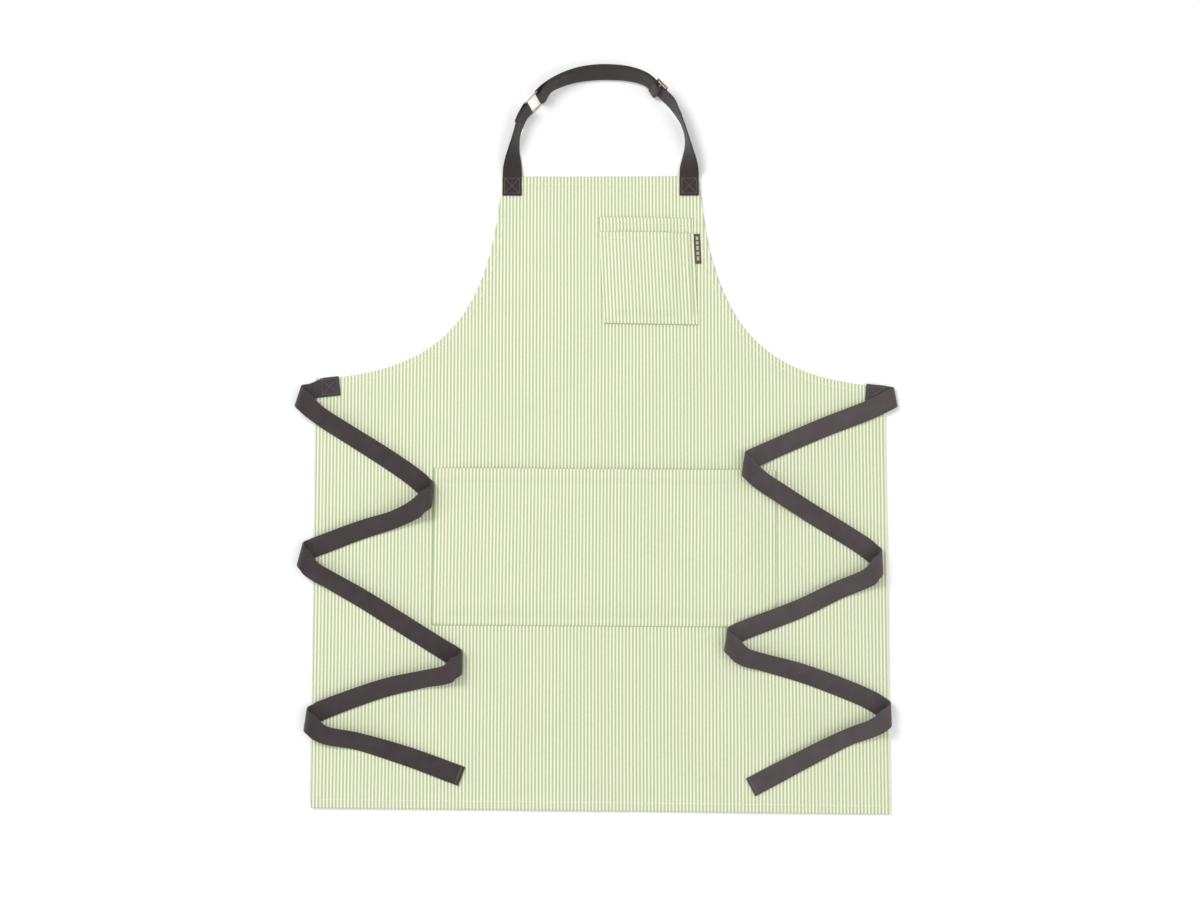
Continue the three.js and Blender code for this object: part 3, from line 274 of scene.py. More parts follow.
def skirt_top(x, y):
    """Height of the highest cloth under a place of the skirt."""
    if abs(x) > HALF_SKIRT + 0.001:
        return 0.0
    lx, ly = lap_local(x, y)
    if abs(lx) < LAP_WIDTH / 2 + 0.002 and -0.002 < ly < LAP_HEIGHT + 0.002:
        base = lap_bottom(lx, min(ly + 0.003, LAP_HEIGHT)) + CLOTH
    else:
        base = PANEL_TOP
    return base + rumple(x, y) + 0.0006


# ---------------------------------------------------------------- meshes
def finish_mesh(name, points, faces, uvs, material, smooth=True):
    """Makes an object of points and faces, with one UV place per point."""
    mesh = bpy.data.meshes.new(name)
    mesh.from_pydata([tuple(p) for p in points], [], faces)
    layer = mesh.uv_layers.new(name="cloth")
    flat = []
    for loop in mesh.loops:
        flat.extend(uvs[loop.vertex_index])
    layer.data.foreach_set("uv", flat)
    mesh.polygons.foreach_set("use_smooth", [smooth] * len(mesh.polygons))
    mesh.materials.append(material)
    mesh.validate()
    mesh.update()
    piece = bpy.data.objects.new(name, mesh)
    bpy.context.scene.collection.objects.link(piece)
    return piece


def cloth_slab(name, columns, rows, at, bottom, thickness, uv, material):
    """A closed sheet over a grid. `at` places a grid point, `bottom` and `thickness` give its height,
    and the edge all round is drawn out a little, as a folded edge is."""
    wide, tall = len(columns), len(rows)
    upper, lower, uvs = [], [], []
    for y in rows:
        for x in columns:
            px, py = at(x, y)
            low = bottom(x, y) + rumple(px, py)
            lower.append(place(px, py, low))
            upper.append(place(px, py, low + thickness(x, y)))
            uvs.append(uv(x, y))
    rim = [(i, 0) for i in range(wide)] + [(wide - 1, j) for j in range(1, tall)]
    rim += [(i, tall - 1) for i in range(wide - 2, -1, -1)] + [(0, j) for j in range(tall - 2, 0, -1)]
    index = [j * wide + i for i, j in rim]
    count = wide * tall
    edge = []
    for k, n in enumerate(index):
        before, after = upper[index[k - 1]], upper[index[(k + 1) % len(index)]]
        along = after - before
        out = Vector((along.y, -along.x, 0)).normalized()
        middle = (upper[n] + lower[n]) / 2
        edge.append(middle + out * (upper[n].z - lower[n].z) * 0.45)
    faces = []
    for j in range(tall - 1):
        for i in range(wide - 1):
            a, b, c, d = j * wide + i, j * wide + i + 1, (j + 1) * wide + i + 1, (j + 1) * wide + i
            faces.append((a, b, c, d))
            faces.append((count + d, count + c, count + b, count + a))
    for k, n in enumerate(index):
        m = (k + 1) % len(index)
        e, f = 2 * count + k, 2 * count + m
        faces.append((n, e, f, index[m]))
        faces.append((e, count + n, count + index[m], f))
    points = upper + lower + edge
    places = uvs + uvs + [uvs[n] for n in index]
    return finish_mesh(name, points, faces, places, material)


def tangents_of(stations):
    """The heading at each station."""
    last = len(stations) - 1
    found = []
    for i in range(last + 1):
        step = stations[min(i + 1, last)].point - stations[max(i - 1, 0)].point
        found.append(step.normalized())
    return found


def squared(stations):
    """The same stations with the width direction made square to the path."""
    result = []
    for station, tangent in zip(stations, tangents_of(stations)):
        across = station.across - tangent * station.across.dot(tangent)
        result.append(Station(station.point, across.normalized()))
    return result


def resampled(stations, step, passes=4):
    """Stations at even steps along the path, rounded off and with their slant kept."""
    lengths = [0.0]
    for a, b in zip(stations, stations[1:]):
        lengths.append(lengths[-1] + (b.point - a.point).length)
    count = max(2, round(lengths[-1] / step))
    result, k = [], 0
    for n in range(count + 1):
        want = lengths[-1] * n / count
        while k < len(stations) - 2 and lengths[k + 1] < want:
            k += 1
        span = max(lengths[k + 1] - lengths[k], 1e-9)
        t = min(max((want - lengths[k]) / span, 0.0), 1.0)
        a, b = stations[k], stations[k + 1]
        result.append(Station(a.point.lerp(b.point, t), a.across.lerp(b.across, t)))
    for _ in range(passes):
        inner = [
            Station((p.point + q.point * 2 + r.point) / 4, (p.across + q.across * 2 + r.across) / 4)
            for p, q, r in zip(result, result[1:], result[2:])
        ]
        result = [result[0], *inner, result[-1]]
    return result


def webbing_section(width, thick):
    """Points round a strap's section, with soft selvedges: (across, through, width share)."""
    half, flat, deep = width / 2, width / 2 - thick * 0.42, thick / 2
    share = [-flat, -flat * 0.5, 0.0, flat * 0.5, flat]
    section = [(x, deep) for x in share]
    section += [(half - thick * 0.12, deep * 0.62), (half, 0.0), (half - thick * 0.12, -deep * 0.62)]
    section += [(x, -deep) for x in reversed(share)]
    section += [(-half + thick * 0.12, -deep * 0.62), (-half, 0.0), (-half + thick * 0.12, deep * 0.62)]
    return section


def webbing(name, stations, material, start=0.0):
    """A strap along stations. Its UV runs in metres along and across the strap."""
    width = bpy.context.scene.bib_apron.web_width
    section = webbing_section(width, WEB_THICK)
    ring = len(section)
    tangents = tangents_of(stations)
    points, uvs, run = [], [], start
    for i, (station, tangent) in enumerate(zip(stations, tangents)):
        if i:
            run += (station.point - stations[i - 1].point).length
        through = tangent.cross(station.across).normalized()
        tooth = 0.00016 * math.sin(2 * math.pi * run / 0.0034)
        for across, deep in section:
            reach = across + math.copysign(tooth, across) if abs(across) > width * 0.47 else across
            points.append(station.point + station.across * reach + through * deep)
            uvs.append((run, across + (0.1 if deep < 0 else 0.0)))
    faces = []
    for i in range(len(stations) - 1):
        for k in range(ring):
            m = (k + 1) % ring
            a, b = i * ring + k, i * ring + m
            faces.append((a, a + ring, b + ring, b))
    faces.append(tuple(range(ring)))
    last = (len(stations) - 1) * ring
    faces.append(tuple(last + k for k in reversed(range(ring))))
    piece = finish_mesh(name, points, faces, uvs, material)
    outward(piece)
    return piece


def outward(piece):
    """Turns a closed mesh's faces outwards."""
    select_only(piece)
    bpy.ops.object.mode_set(mode="EDIT")
    bpy.ops.mesh.select_all(action="SELECT")
    bpy.ops.mesh.normals_make_consistent(inside=False)
    bpy.ops.object.mode_set(mode="OBJECT")


def select_only(*pieces):
    bpy.ops.object.select_all(action="DESELECT")
    for piece in pieces:
        piece.select_set(True)
    bpy.context.view_layer.objects.active = pieces[0]


# ---------------------------------------------------------------- curves
def curve_point(points, where):
    """A point of the smooth curve through points, `where` counted in points (centripetal)."""
    last = len(points) - 1
    i = min(int(where), last - 1)
    t = where - i
    p1, p2 = points[i], points[i + 1]
    p0 = points[i - 1] if i else p1 * 2 - p2
    p3 = points[i + 2] if i + 2 <= last else p2 * 2 - p1
    d0, d1, d2 = ((b - a).length ** 0.5 for a, b in ((p0, p1), (p1, p2), (p2, p3)))
    m1 = ((p1 - p0) / d0 - (p2 - p0) / (d0 + d1) + (p2 - p1) / d1) * d1
    m2 = ((p2 - p1) / d1 - (p3 - p1) / (d1 + d2) + (p3 - p2) / d2) * d1
    return p1 + m1 * t + (p2 * 3 - p1 * 3 - m1 * 2 - m2) * t**2 + (p1 * 2 - p2 * 2 + m1 + m2) * t**3


def curve_heading(points, where):
    last = len(points) - 1
    before, after = max(where - 0.01, 0), min(where + 0.01, last)
    return (curve_point(points, after) - curve_point(points, before)).normalized()


def leaning(outward_level, degrees):
    lean = math.radians(degrees)
    return outward_level * math.cos(lean) + UP * math.sin(lean)


def level(v):
    return Vector((v.x, v.y, 0)).normalized()


def half_turn(bar, start, far, radius, across, steps):
    turn = []
    for i in range(steps + 1):
        angle = math.pi * i / steps
        point = bar + start * (radius * math.cos(angle)) + far * (radius * math.sin(angle))
        turn.append(Station(point, across.copy()))
    return turn


# ---------------------------------------------------------------- neck loop
RING_OUTWARD = Vector((-RING_DIRECTION.y, RING_DIRECTION.x, 0))
RING_ACROSS = leaning(RING_OUTWARD, RING_LEAN)
RING_FACE = RING_DIRECTION.cross(RING_ACROSS).normalized()
SHORT_LOOP_RADIUS = WIRE / 2 + GAP + 0.0002 + WEB_THICK / 2
LONG_LOOP_RADIUS = WIRE / 2 + RING_PLAY + WEB_THICK / 2
SLIDER_ACROSS = leaning(Vector((-SLIDER_DIRECTION.y, SLIDER_DIRECTION.x, 0)), SLIDER_LEAN)
SLIDER_FACE = SLIDER_ACROSS.cross(SLIDER_DIRECTION)
END_LOOP_RADIUS = WIRE / 2 + GAP + 0.0002 + WEB_THICK / 2
CENTRE_BAR_SETBACK = LAYER_STEP + END_LOOP_RADIUS
PLATE_OFFSET = WEB_THICK / 2 + GAP + WIRE / 2


def ring_bar(end):
    return RING_CENTRE + RING_DIRECTION * (end * (RING_LENGTH - WIRE) / 2)


def ring_ending(bar, face, travel):
    end = bar + face
    return [Row(end - travel * d, RING_LEAN) for d in (0.008, 0.004, 0.0)]


def route_stations(route, side, ending):
    rows = [Row(Vector(row[:3]), row[3]) for row in route] + ending
    points = [row.point for row in rows]
    per_row = 6
    stations = []
    for n in range((len(rows) - 1) * per_row + 1):
        i = min(n // per_row, len(rows) - 2)
        t = n / per_row - i
        lean = rows[i].lean + (rows[i + 1].lean - rows[i].lean) * t
        heading = curve_heading(points, i + t)
        outward_level = Vector((side * heading.y, -side * heading.x, 0)).normalized()
        stations.append(Station(curve_point(points, i + t), leaning(outward_level, lean)))
    return stations


def last_stretch(stations, is_past):
    stretch, run = [], 0.0
    for i in range(len(stations) - 1, 0, -1):
        if is_past(stations[i].point, run):
            break
        stretch.append(stations[i])
        run += (stations[i].point - stations[i - 1].point).length
    return stretch


def returning_layer(stations, wide, close, ramp):
    """The layer that lies back along a strap, drawn in towards it over a stretch of length ramp."""
    layer, run = [], 0.0
    for i, (station, tangent) in enumerate(zip(stations, tangents_of(stations))):
        if i:
            run += (station.point - stations[i - 1].point).length
        inward = tangent.cross(station.across)
        distance = wide + (close - wide) * smoothstep(run, ramp)
        layer.append(Station(station.point + inward * distance, station.across.copy()))
    return layer


def on_apron(stations):
    """Stations of the apron's own axes, in the row frame, lifted with the cloth near the bib."""
    result = []
    for station in stations:
        p = station.point
        near = 1 - smoothstep(p.y - APRON_LENGTH, 0.03)
        lift = near * rumple(p.x, min(p.y, APRON_LENGTH))
        result.append(Station(place(p.x, p.y, p.z + lift), station.across))
    return result


def sewn_start(side):
    """The stretch sewn down on the bib, before a neck strap's first row."""
    x = side * (BIB_WIDTH / 2 - bpy.context.scene.bib_apron.web_width / 2)
    low = APRON_LENGTH + SEWN_OVERHANG - SEWN_LENGTH
    rows = spread(low, APRON_LENGTH - 0.001, 12)
    return [Station(Vector((x, y, WEB_MIDDLE)), Vector((side, 0, 0))) for y in rows]


def short_strap_stations():
    bar = ring_bar(-1)
    main = route_stations(SHORT_ROUTE, -1, ring_ending(bar, RING_FACE * SHORT_LOOP_RADIUS, RING_DIRECTION))
    turn = half_turn(bar, RING_FACE, RING_DIRECTION, SHORT_LOOP_RADIUS, RING_ACROSS, 14)
    doubled = last_stretch(main, lambda point, run: run > STRAP_TAIL)
    tail = returning_layer(doubled, 2 * SHORT_LOOP_RADIUS, LAYER_STEP, STRAP_TAIL / 2)
    stations = sewn_start(-1) + main + turn[1:] + tail[1:]
    return squared(stations)


def long_strap_runs():
    """The strap from the bib to the ring's far bar, and its returning layer down to the slider."""
    bar, back = ring_bar(1), -RING_DIRECTION
    main = route_stations(LONG_ROUTE, 1, ring_ending(bar, RING_FACE * -LONG_LOOP_RADIUS, back))
    turn = half_turn(bar, -RING_FACE, back, LONG_LOOP_RADIUS, RING_ACROSS, 14)
    stop = SLIDER_CENTRE - SLIDER_DIRECTION * (SLIDER_LENGTH / 2 + 0.004)
    doubled = last_stretch(main, lambda p, run: p.x > 0 and (p - stop).dot(SLIDER_DIRECTION) > 0)
    back_layer = returning_layer(doubled, 2 * LONG_LOOP_RADIUS, LAYER_STEP, 0.020)
    outgoing = sewn_start(1) + main + turn[1:8]
    returning = turn[7:] + back_layer[1:] + end_loop_stations()
    return squared(outgoing), squared(returning)


def slider_place(x, y, z):
    """A point of the slider's own axes: x along the strap to the bib, y across it, z out of the loop."""
    return SLIDER_CENTRE + SLIDER_DIRECTION * x - SLIDER_ACROSS * y + SLIDER_FACE * z


def end_loop_stations():
    start = -SLIDER_LENGTH / 2 - 0.002
    row = [(start, -LAYER_STEP), (start / 2, -LAYER_STEP)]
    for i in range(15):
        angle = math.pi * i / 14
        level_there = -CENTRE_BAR_SETBACK + END_LOOP_RADIUS * math.cos(angle)
        row.append((END_LOOP_RADIUS * math.sin(angle), level_there))
    down = [
        (start / 3, 2 * END_LOOP_RADIUS - 0.0006),
        (start / 1.5, LAYER_STEP + 0.0004),
        (start, LAYER_STEP),
    ]
    row += [(x, -LAYER_STEP - deep) for x, deep in down]
    return [Station(slider_place(x, 0, z), SLIDER_ACROSS.copy()) for x, z in row]


# ---------------------------------------------------------------- waist ties
def waist_corner(side):
    width = bpy.context.scene.bib_apron.web_width
    return Vector((side * HALF_SKIRT, WAIST_HEIGHT[side] - width / 2, 0))


def tie_root(side):
    heading = Vector((side * math.cos(WAIST_END_TILT), -math.sin(WAIST_END_TILT), 0))
    corner = waist_corner(side)
    middle = Vector((corner.x - side * WAIST_END_INSET[side], corner.y + 0.001, WEB_MIDDLE))
    return heading, middle


def upper_side(heading):
    """The level direction square to a heading, on the side of the bib."""
    side = Vector((-heading.y, heading.x, 0))
    return side if side.y > 0 else -side


def slant(station, heading):
    """How far a section leans along the strap for each unit of width."""
    return station.across.dot(heading) / station.across.dot(upper_side(heading))


def roll_stations(at, radius, arrival, departure, low, steps):
    """One roll: the tie arrives level, climbs round a line, and leaves along the mirrored heading.
    Its sections lie along that line, so that it wraps round without creasing."""
    axis = level(arrival + departure)
    drift = arrival.dot(axis)
    outwards = (arrival - axis * drift).normalized()
    pace = math.sqrt(1 - drift * drift)
    across = axis / axis.dot(upper_side(arrival))
    middle = at - outwards * radius
    middle.z = low + radius
    roll = []
    for i in range(steps + 1):
        angle = math.pi * i / steps
        climb = outwards * (radius * math.sin(angle)) - UP * (radius * math.cos(angle))
        climb += axis * (drift * radius * (angle - math.pi / 2) / pace)
        roll.append(Station(middle + climb, across.copy()))
    return roll


def run_stations(rows, step, slants=(0.0, 0.0)):
    """The stretch between two rolls. `slants` are those of the sections at its two ends."""
    points = [row.point for row in rows]
    total = sum((b - a).length for a, b in zip(points, points[1:]))
    ease = min(0.045, total * 0.45)
    stations, run, before_point = [], 0.0, points[0]
    for i, (before, row) in enumerate(zip(rows, rows[1:])):
        count = max(1, round((row.point - before.point).length / step))
        for k in range(1, count + 1):
            t = k / count
            heading = curve_heading(points, i + t)
            lean = before.lean + (row.lean - before.lean) * smoothstep(t, 1)
            across = leaning(upper_side(level(heading)), lean)
            across = (across - heading * across.dot(heading)).normalized()
            point = curve_point(points, i + t)
            run += (point - before_point).length
            before_point = point
            leaving = slants[0] * (1 - smoothstep(run, ease))
            shear = leaving + slants[1] * smoothstep(run - total + ease, ease)
            stations.append(Station(point, across + heading * shear))
    return stations


def clear_of_skirt(stations):
    """Raises each station whose edges would touch the cloth under them."""
    width = bpy.context.scene.bib_apron.web_width
    lifted = []
    for station, tangent in zip(stations, tangents_of(stations)):
        through = tangent.cross(station.across).normalized()
        short = 0.0
        for edge in (-0.5, -0.25, 0, 0.25, 0.5):
            for face in (-0.5, 0.5):
                corner = station.point + station.across * (edge * width) + through * (face * WEB_THICK)
                short = max(short, skirt_top(corner.x, corner.y) - corner.z)
        lifted.append(Station(station.point + UP * short, station.across))
    return lifted


def tie_runs(route, side):
    """The sewn end with the first half of the first roll, and the rest of the tie."""
    heading, sewn = tie_root(side)
    corner = waist_corner(side)
    across = Vector((-heading.y, heading.x, 0)) * side
    placed = lambda row: Vector((corner.x + row[0], corner.y + row[1], row[2]))
    sewn_run = [Station(sewn + heading * d, across) for d in spread(-SEWN_LENGTH / 2, SEWN_LENGTH / 2, 10)]
    bend_steps, step = 20, 0.004
    stations, rows = [], []
    for i, row in enumerate(route):
        if not isinstance(row, Bend):
            rows.append(Row(placed(row), row[3]))
            continue
        at = Vector((corner.x + row.x, corner.y + row.y, 0))
        before = rows[-1].point if rows else sewn
        following = placed(route[i + 1])
        low = row.low or (WEB_MIDDLE + 0.0012 if rows else WEB_MIDDLE)
        first, last = at, at
        for _ in range(4):
            arrival = level(first - before) if rows else heading
            roll = roll_stations(at, row.radius, arrival, level(following - last), low, bend_steps)
            first, last = roll[0].point, roll[-1].point
        arriving = slant(roll[0], arrival)
        if rows:
            stations += run_stations([*rows, Row(first, 0)], step, (leaving, arriving)) + roll[1:]
        else:
            lead = heading * (first - sewn_run[-1].point).dot(heading)
            turned = [
                Station(s.point, s.across + heading * (arriving * smoothstep(k, len(sewn_run) - 1)))
                for k, s in enumerate(sewn_run)
            ]
            stations = turned if lead.dot(heading) > 0.004 else turned[:-1]
            fold = len(stations) + bend_steps // 2
            stations = [*stations, *roll]
        leaving = slant(roll[-1], level(following - last))
        rows = [Row(last, 0)]
    stations = stations + run_stations(rows, step, (leaving, 0.0))
    free = stations[fold:]
    for _ in range(2):
        free = [free[0], *clear_of_skirt(free[1:])]
    return stations[: fold + 1], free


# ---------------------------------------------------------------- materials
def new_material(name):
    material = bpy.data.materials.new(name)
    material.use_nodes = True
    nodes = material.node_tree.nodes
    nodes.clear()
    output = nodes.new("ShaderNodeOutputMaterial")
    shader = nodes.new("ShaderNodeBsdfPrincipled")
    material.node_tree.links.new(shader.outputs["BSDF"], output.inputs["Surface"])
    return material, shader


class NodeBuilder:
    """Adds nodes to a material and links them."""

    def __init__(self, material):
        self.tree = material.node_tree

    def add(self, kind, values=(), **settings):
        node = self.tree.nodes.new(kind)
        for key, value in settings.items():
            setattr(node, key, value)
        for socket, value in dict(values).items():
            self.put(node.inputs[socket], value)
        return node

    def put(self, socket, value):
        if isinstance(value, bpy.types.NodeSocket):
            self.tree.links.new(value, socket)
        else:
            socket.default_value = value

    def math(self, operation, a, b=0.0, c=0.0):
        node = self.add("ShaderNodeMath", operation=operation)
        for socket, value in zip(node.inputs, (a, b, c)):
            self.put(socket, value)
        return node.outputs[0]

    def mix(self, share, a, b, blend="MIX"):
        node = self.add("ShaderNodeMix", data_type="RGBA", blend_type=blend)
        self.put(node.inputs["Factor"], share)
        self.put(node.inputs["A"], a)
        self.put(node.inputs["B"], b)
        return node.outputs["Result"]

    def remap(self, value, low, high, to_low=0.0, to_high=1.0):
        node = self.add("ShaderNodeMapRange", {"Value": value, "From Min": low, "From Max": high})
        node.inputs["To Min"].default_value = to_low
        node.inputs["To Max"].default_value = to_high
        return node.outputs["Result"]

    def noise(self, vector, scale, detail=2.0, roughness=0.5):
        values = {"Vector": vector, "Scale": scale, "Detail": detail, "Roughness": roughness}
        return self.add("ShaderNodeTexNoise", values).outputs["Fac"]

    def bump(self, height, distance, strength=1.0):
        values = {"Height": height, "Distance": distance, "Strength": strength}
        return self.add("ShaderNodeBump", values).outputs["Normal"]


def rgba(colour, share=1.0):
    return (colour[0] * share, colour[1] * share, colour[2] * share, 1.0)


def ridges(build, value, pitch, phase=0.0):
    """A wave from 0 to 1 with one ridge for each pitch."""
    turned = build.math("MULTIPLY_ADD", value, 2 * math.pi / pitch, phase)
    return build.math("MULTIPLY_ADD", build.math("SINE", turned), 0.5, 0.5)


def canvas_material(name):
    """Ticking: green stripes of coloured warp on cream, in a plain weave."""
    colours = bpy.context.scene.bib_apron
    material, shader = new_material(name)
    build = NodeBuilder(material)
    uv = build.add("ShaderNodeUVMap", uv_map="cloth").outputs["UV"]
    parts = build.add("ShaderNodeSeparateXYZ", {"Vector": uv})
    u, v = parts.outputs["X"], parts.outputs["Y"]
    drift = build.math("MULTIPLY_ADD", build.noise(uv, 9.0, 1.0), 0.0011, -0.00055)
    yarn_wander = build.math("MULTIPLY_ADD", build.noise(uv, 420.0, 2.0), 0.00034, -0.00017)
    across = build.math("ADD", build.math("ADD", u, drift), yarn_wander)
    stripe = ridges(build, across, colours.stripe_pitch)
    green = build.remap(stripe, 0.32, 0.58)
    warp = ridges(build, u, 0.00062)
    weft = ridges(build, v, 0.00070)
    weave = build.math("MULTIPLY", warp, weft)
    stretched = build.add("ShaderNodeVectorMath", {0: uv, 1: (900.0, 160.0, 1.0)}, operation="MULTIPLY")
    slub = build.noise(stretched.outputs[0], 1.0, 3.0)
    broad = build.noise(uv, 14.0, 3.0)
    cream = build.mix(build.remap(broad, 0.3, 0.7), rgba(colours.cream, 0.965), rgba(colours.cream))
    leaf = build.mix(slub, rgba(colours.green, 0.86), rgba(colours.green, 1.16))
    leaf = build.mix(build.math("MULTIPLY", weave, 0.30), leaf, rgba(colours.cream))
    cloth = build.mix(green, cream, leaf)
    # Painted shade: the gaps between warp and weft are darkened towards a dark olive, as shade falls there.
    weave_hollow_shade = build.math("MULTIPLY", build.math("SUBTRACT", 1.0, weave), 0.10)
    cloth = build.mix(weave_hollow_shade, cloth, rgba((0.30, 0.31, 0.20)))
    build.put(shader.inputs["Base Color"], cloth)
    build.put(shader.inputs["Roughness"], build.remap(slub, 0.2, 0.8, 0.82, 0.95))
    height = build.math("ADD", build.math("MULTIPLY", weave, 0.5), build.math("MULTIPLY", slub, 0.5))
    build.put(shader.inputs["Normal"], build.bump(height, 0.00018, 0.7))
    shader.inputs["Sheen Weight"].default_value = 0.12
    shader.inputs["Sheen Roughness"].default_value = 0.6
    return material


def webbing_material(name, colour):
    """Dense cotton webbing: a fine herringbone of short floats, with a painted highlight on the raised floats
    and painted shade in the dips between them, flecked by a fine dusty noise.
    """
    material, shader = new_material(name)
    build = NodeBuilder(material)
    uv = build.add("ShaderNodeUVMap", uv_map="cloth").outputs["UV"]
    parts = build.add("ShaderNodeSeparateXYZ", {"Vector": uv})
    u, v = parts.outputs["X"], parts.outputs["Y"]
    chevron = build.math("PINGPONG", v, 0.0016)
    twill = ridges(build, build.math("ADD", u, chevron), 0.00105)
    rib = ridges(build, v, 0.00080)
    weave = build.math("MULTIPLY", twill, build.math("MULTIPLY_ADD", rib, 0.5, 0.5))
    dust_and_highlight = build.noise(uv, 1500.0, 3.0, 0.7)
    broad = build.noise(uv, 45.0, 3.0)
    # Painted shade and highlight: the dips of the weave take the darker colour and its raised floats the
    # lighter one, most where the fine noise is high.
    deep = build.mix(build.remap(broad, 0.3, 0.7), rgba(colour, 0.62), rgba(colour, 0.86))
    high = build.mix(build.remap(broad, 0.3, 0.7), rgba(colour, 1.7), rgba(colour, 2.3))
    cloth = build.mix(build.math("MULTIPLY", weave, build.remap(dust_and_highlight, 0.25, 0.8)), deep, high)
    # Painted highlight: both selvedges are made lighter, where the rounded edges catch the light.
    edge = build.remap(build.math("ABSOLUTE", v), 0.0112, 0.0127)
    cloth = build.mix(build.math("MULTIPLY", edge, 0.25), cloth, rgba(colour, 1.7))
    build.put(shader.inputs["Base Color"], cloth)
    build.put(shader.inputs["Roughness"], build.remap(dust_and_highlight, 0.2, 0.8, 0.86, 0.98))
    height = build.math("ADD", weave, build.math("MULTIPLY", dust_and_highlight, 0.35))
    build.put(shader.inputs["Normal"], build.bump(height, 0.00028, 0.8))
    shader.inputs["Sheen Weight"].default_value = 0.18
    shader.inputs["Sheen Roughness"].default_value = 0.5
    return material


def brass_material(name):
    """Aged brass: duller and darker in some patches, brighter in others."""
    material, shader = new_material(name)
    build = NodeBuilder(material)
    where = build.add("ShaderNodeTexCoord").outputs["Object"]
    patch = build.noise(where, 260.0, 4.0, 0.6)
    scratch = build.noise(where, 2600.0, 3.0, 0.7)
    colour = build.mix(build.remap(patch, 0.35, 0.65), (0.30, 0.20, 0.085, 1), (0.62, 0.44, 0.19, 1))
    build.put(shader.inputs["Base Color"], colour)
    dull = build.math("ADD", patch, build.math("MULTIPLY", scratch, 0.5))
    build.put(shader.inputs["Roughness"], build.remap(dull, 0.5, 1.1, 0.28, 0.52))
    build.put(shader.inputs["Normal"], build.bump(scratch, 0.00004, 0.5))
    shader.inputs["Metallic"].default_value = 1.0
    return material


def thread_material(name, colour):
    """Spun thread, with its twist."""
    material, shader = new_material(name)
    build = NodeBuilder(material)
    where = build.add("ShaderNodeTexCoord").outputs["Object"]
    parts = build.add("ShaderNodeSeparateXYZ", {"Vector": where})
    twist = ridges(build, build.math("ADD", parts.outputs["X"], parts.outputs["Y"]), 0.00045)
    fibre = build.noise(where, 3000.0, 2.0)
    # Painted highlight and shade: the thread is lighter on its twist ridges and darker between them.
    light = build.math("MULTIPLY", twist, fibre)
    build.put(shader.inputs["Base Color"], build.mix(light, rgba(colour, 0.72), rgba(colour, 1.05)))
    build.put(shader.inputs["Roughness"], build.remap(fibre, 0.3, 0.7, 0.7, 0.9))
    build.put(shader.inputs["Normal"], build.bump(twist, 0.00008, 0.8))
    return material


def label_material(name, colour):
    """A fine damask label."""
    material, shader = new_material(name)
    build = NodeBuilder(material)
    where = build.add("ShaderNodeTexCoord").outputs["Object"]
    parts = build.add("ShaderNodeSeparateXYZ", {"Vector": where})
    warp = ridges(build, parts.outputs["X"], 0.00032)
    weave = build.math("MULTIPLY", warp, ridges(build, parts.outputs["Y"], 0.00036))
    fibre = build.noise(where, 1800.0, 2.0)
    # Painted highlight and shade: the label is lighter on the tops of its weave and darker between the yarns.
    light = build.math("MULTIPLY", weave, fibre)
    build.put(shader.inputs["Base Color"], build.mix(light, rgba(colour, 0.75), rgba(colour, 1.3)))
    build.put(shader.inputs["Roughness"], build.remap(fibre, 0.3, 0.7, 0.75, 0.9))
    build.put(shader.inputs["Normal"], build.bump(weave, 0.0001, 0.7))
    shader.inputs["Sheen Weight"].default_value = 0.1
    return material


def shared(name, maker, *args):
    """The material of that name, made on first use."""
    return bpy.data.materials.get(name) or maker(name, *args)


# ---------------------------------------------------------------- settings
class BibApronSettings(PropertyGroup):
    """What can be changed about the apron's finish and the view of it."""

    web_width: FloatProperty(
        name="Webbing width", description="Width of the straps and ties", default=0.0254, unit="LENGTH"
    )
    stripe_pitch: FloatProperty(
        name="Stripe pitch", description="One green and one cream stripe",
        default=0.0045, unit="LENGTH", precision=5,
    )
    green: FloatVectorProperty(
        name="Green stripe", description="Colour of the coloured warp",
        default=(0.405, 0.508, 0.278), subtype="COLOR",
    )
    cream: FloatVectorProperty(
        name="Cream ground", description="Colour of the undyed cotton",
        default=(0.90, 0.885, 0.70), subtype="COLOR",
    )
    webbing_neck: FloatVectorProperty(
        name="Neck webbing", description="Colour of the neck loop",
        default=(0.028, 0.0215, 0.021), subtype="COLOR",
    )
    webbing_left: FloatVectorProperty(
        name="Left tie webbing", description="Colour of the left tie",
        default=(0.043, 0.032, 0.0325), subtype="COLOR",
    )
    webbing_right: FloatVectorProperty(
        name="Right tie webbing", description="Colour of the paler right tie",
        default=(0.066, 0.052, 0.054), subtype="COLOR",
    )
    stitch_pitch: FloatProperty(
        name="Stitch pitch", description="Distance from stitch to stitch",
        default=0.0034, unit="LENGTH", precision=5,
    )
    camera_place: FloatVectorProperty(
        name="Camera place", description="Where the camera stands",
        default=(-0.002, -0.265, 2.588), subtype="TRANSLATION",
    )
    camera_tip: FloatProperty(
        name="Camera tip", description="Lean of the view from straight down",
        default=math.radians(5.4), subtype="ANGLE",
    )
    lens: FloatProperty(name="Lens", description="Focal length in millimetres", default=59.5)


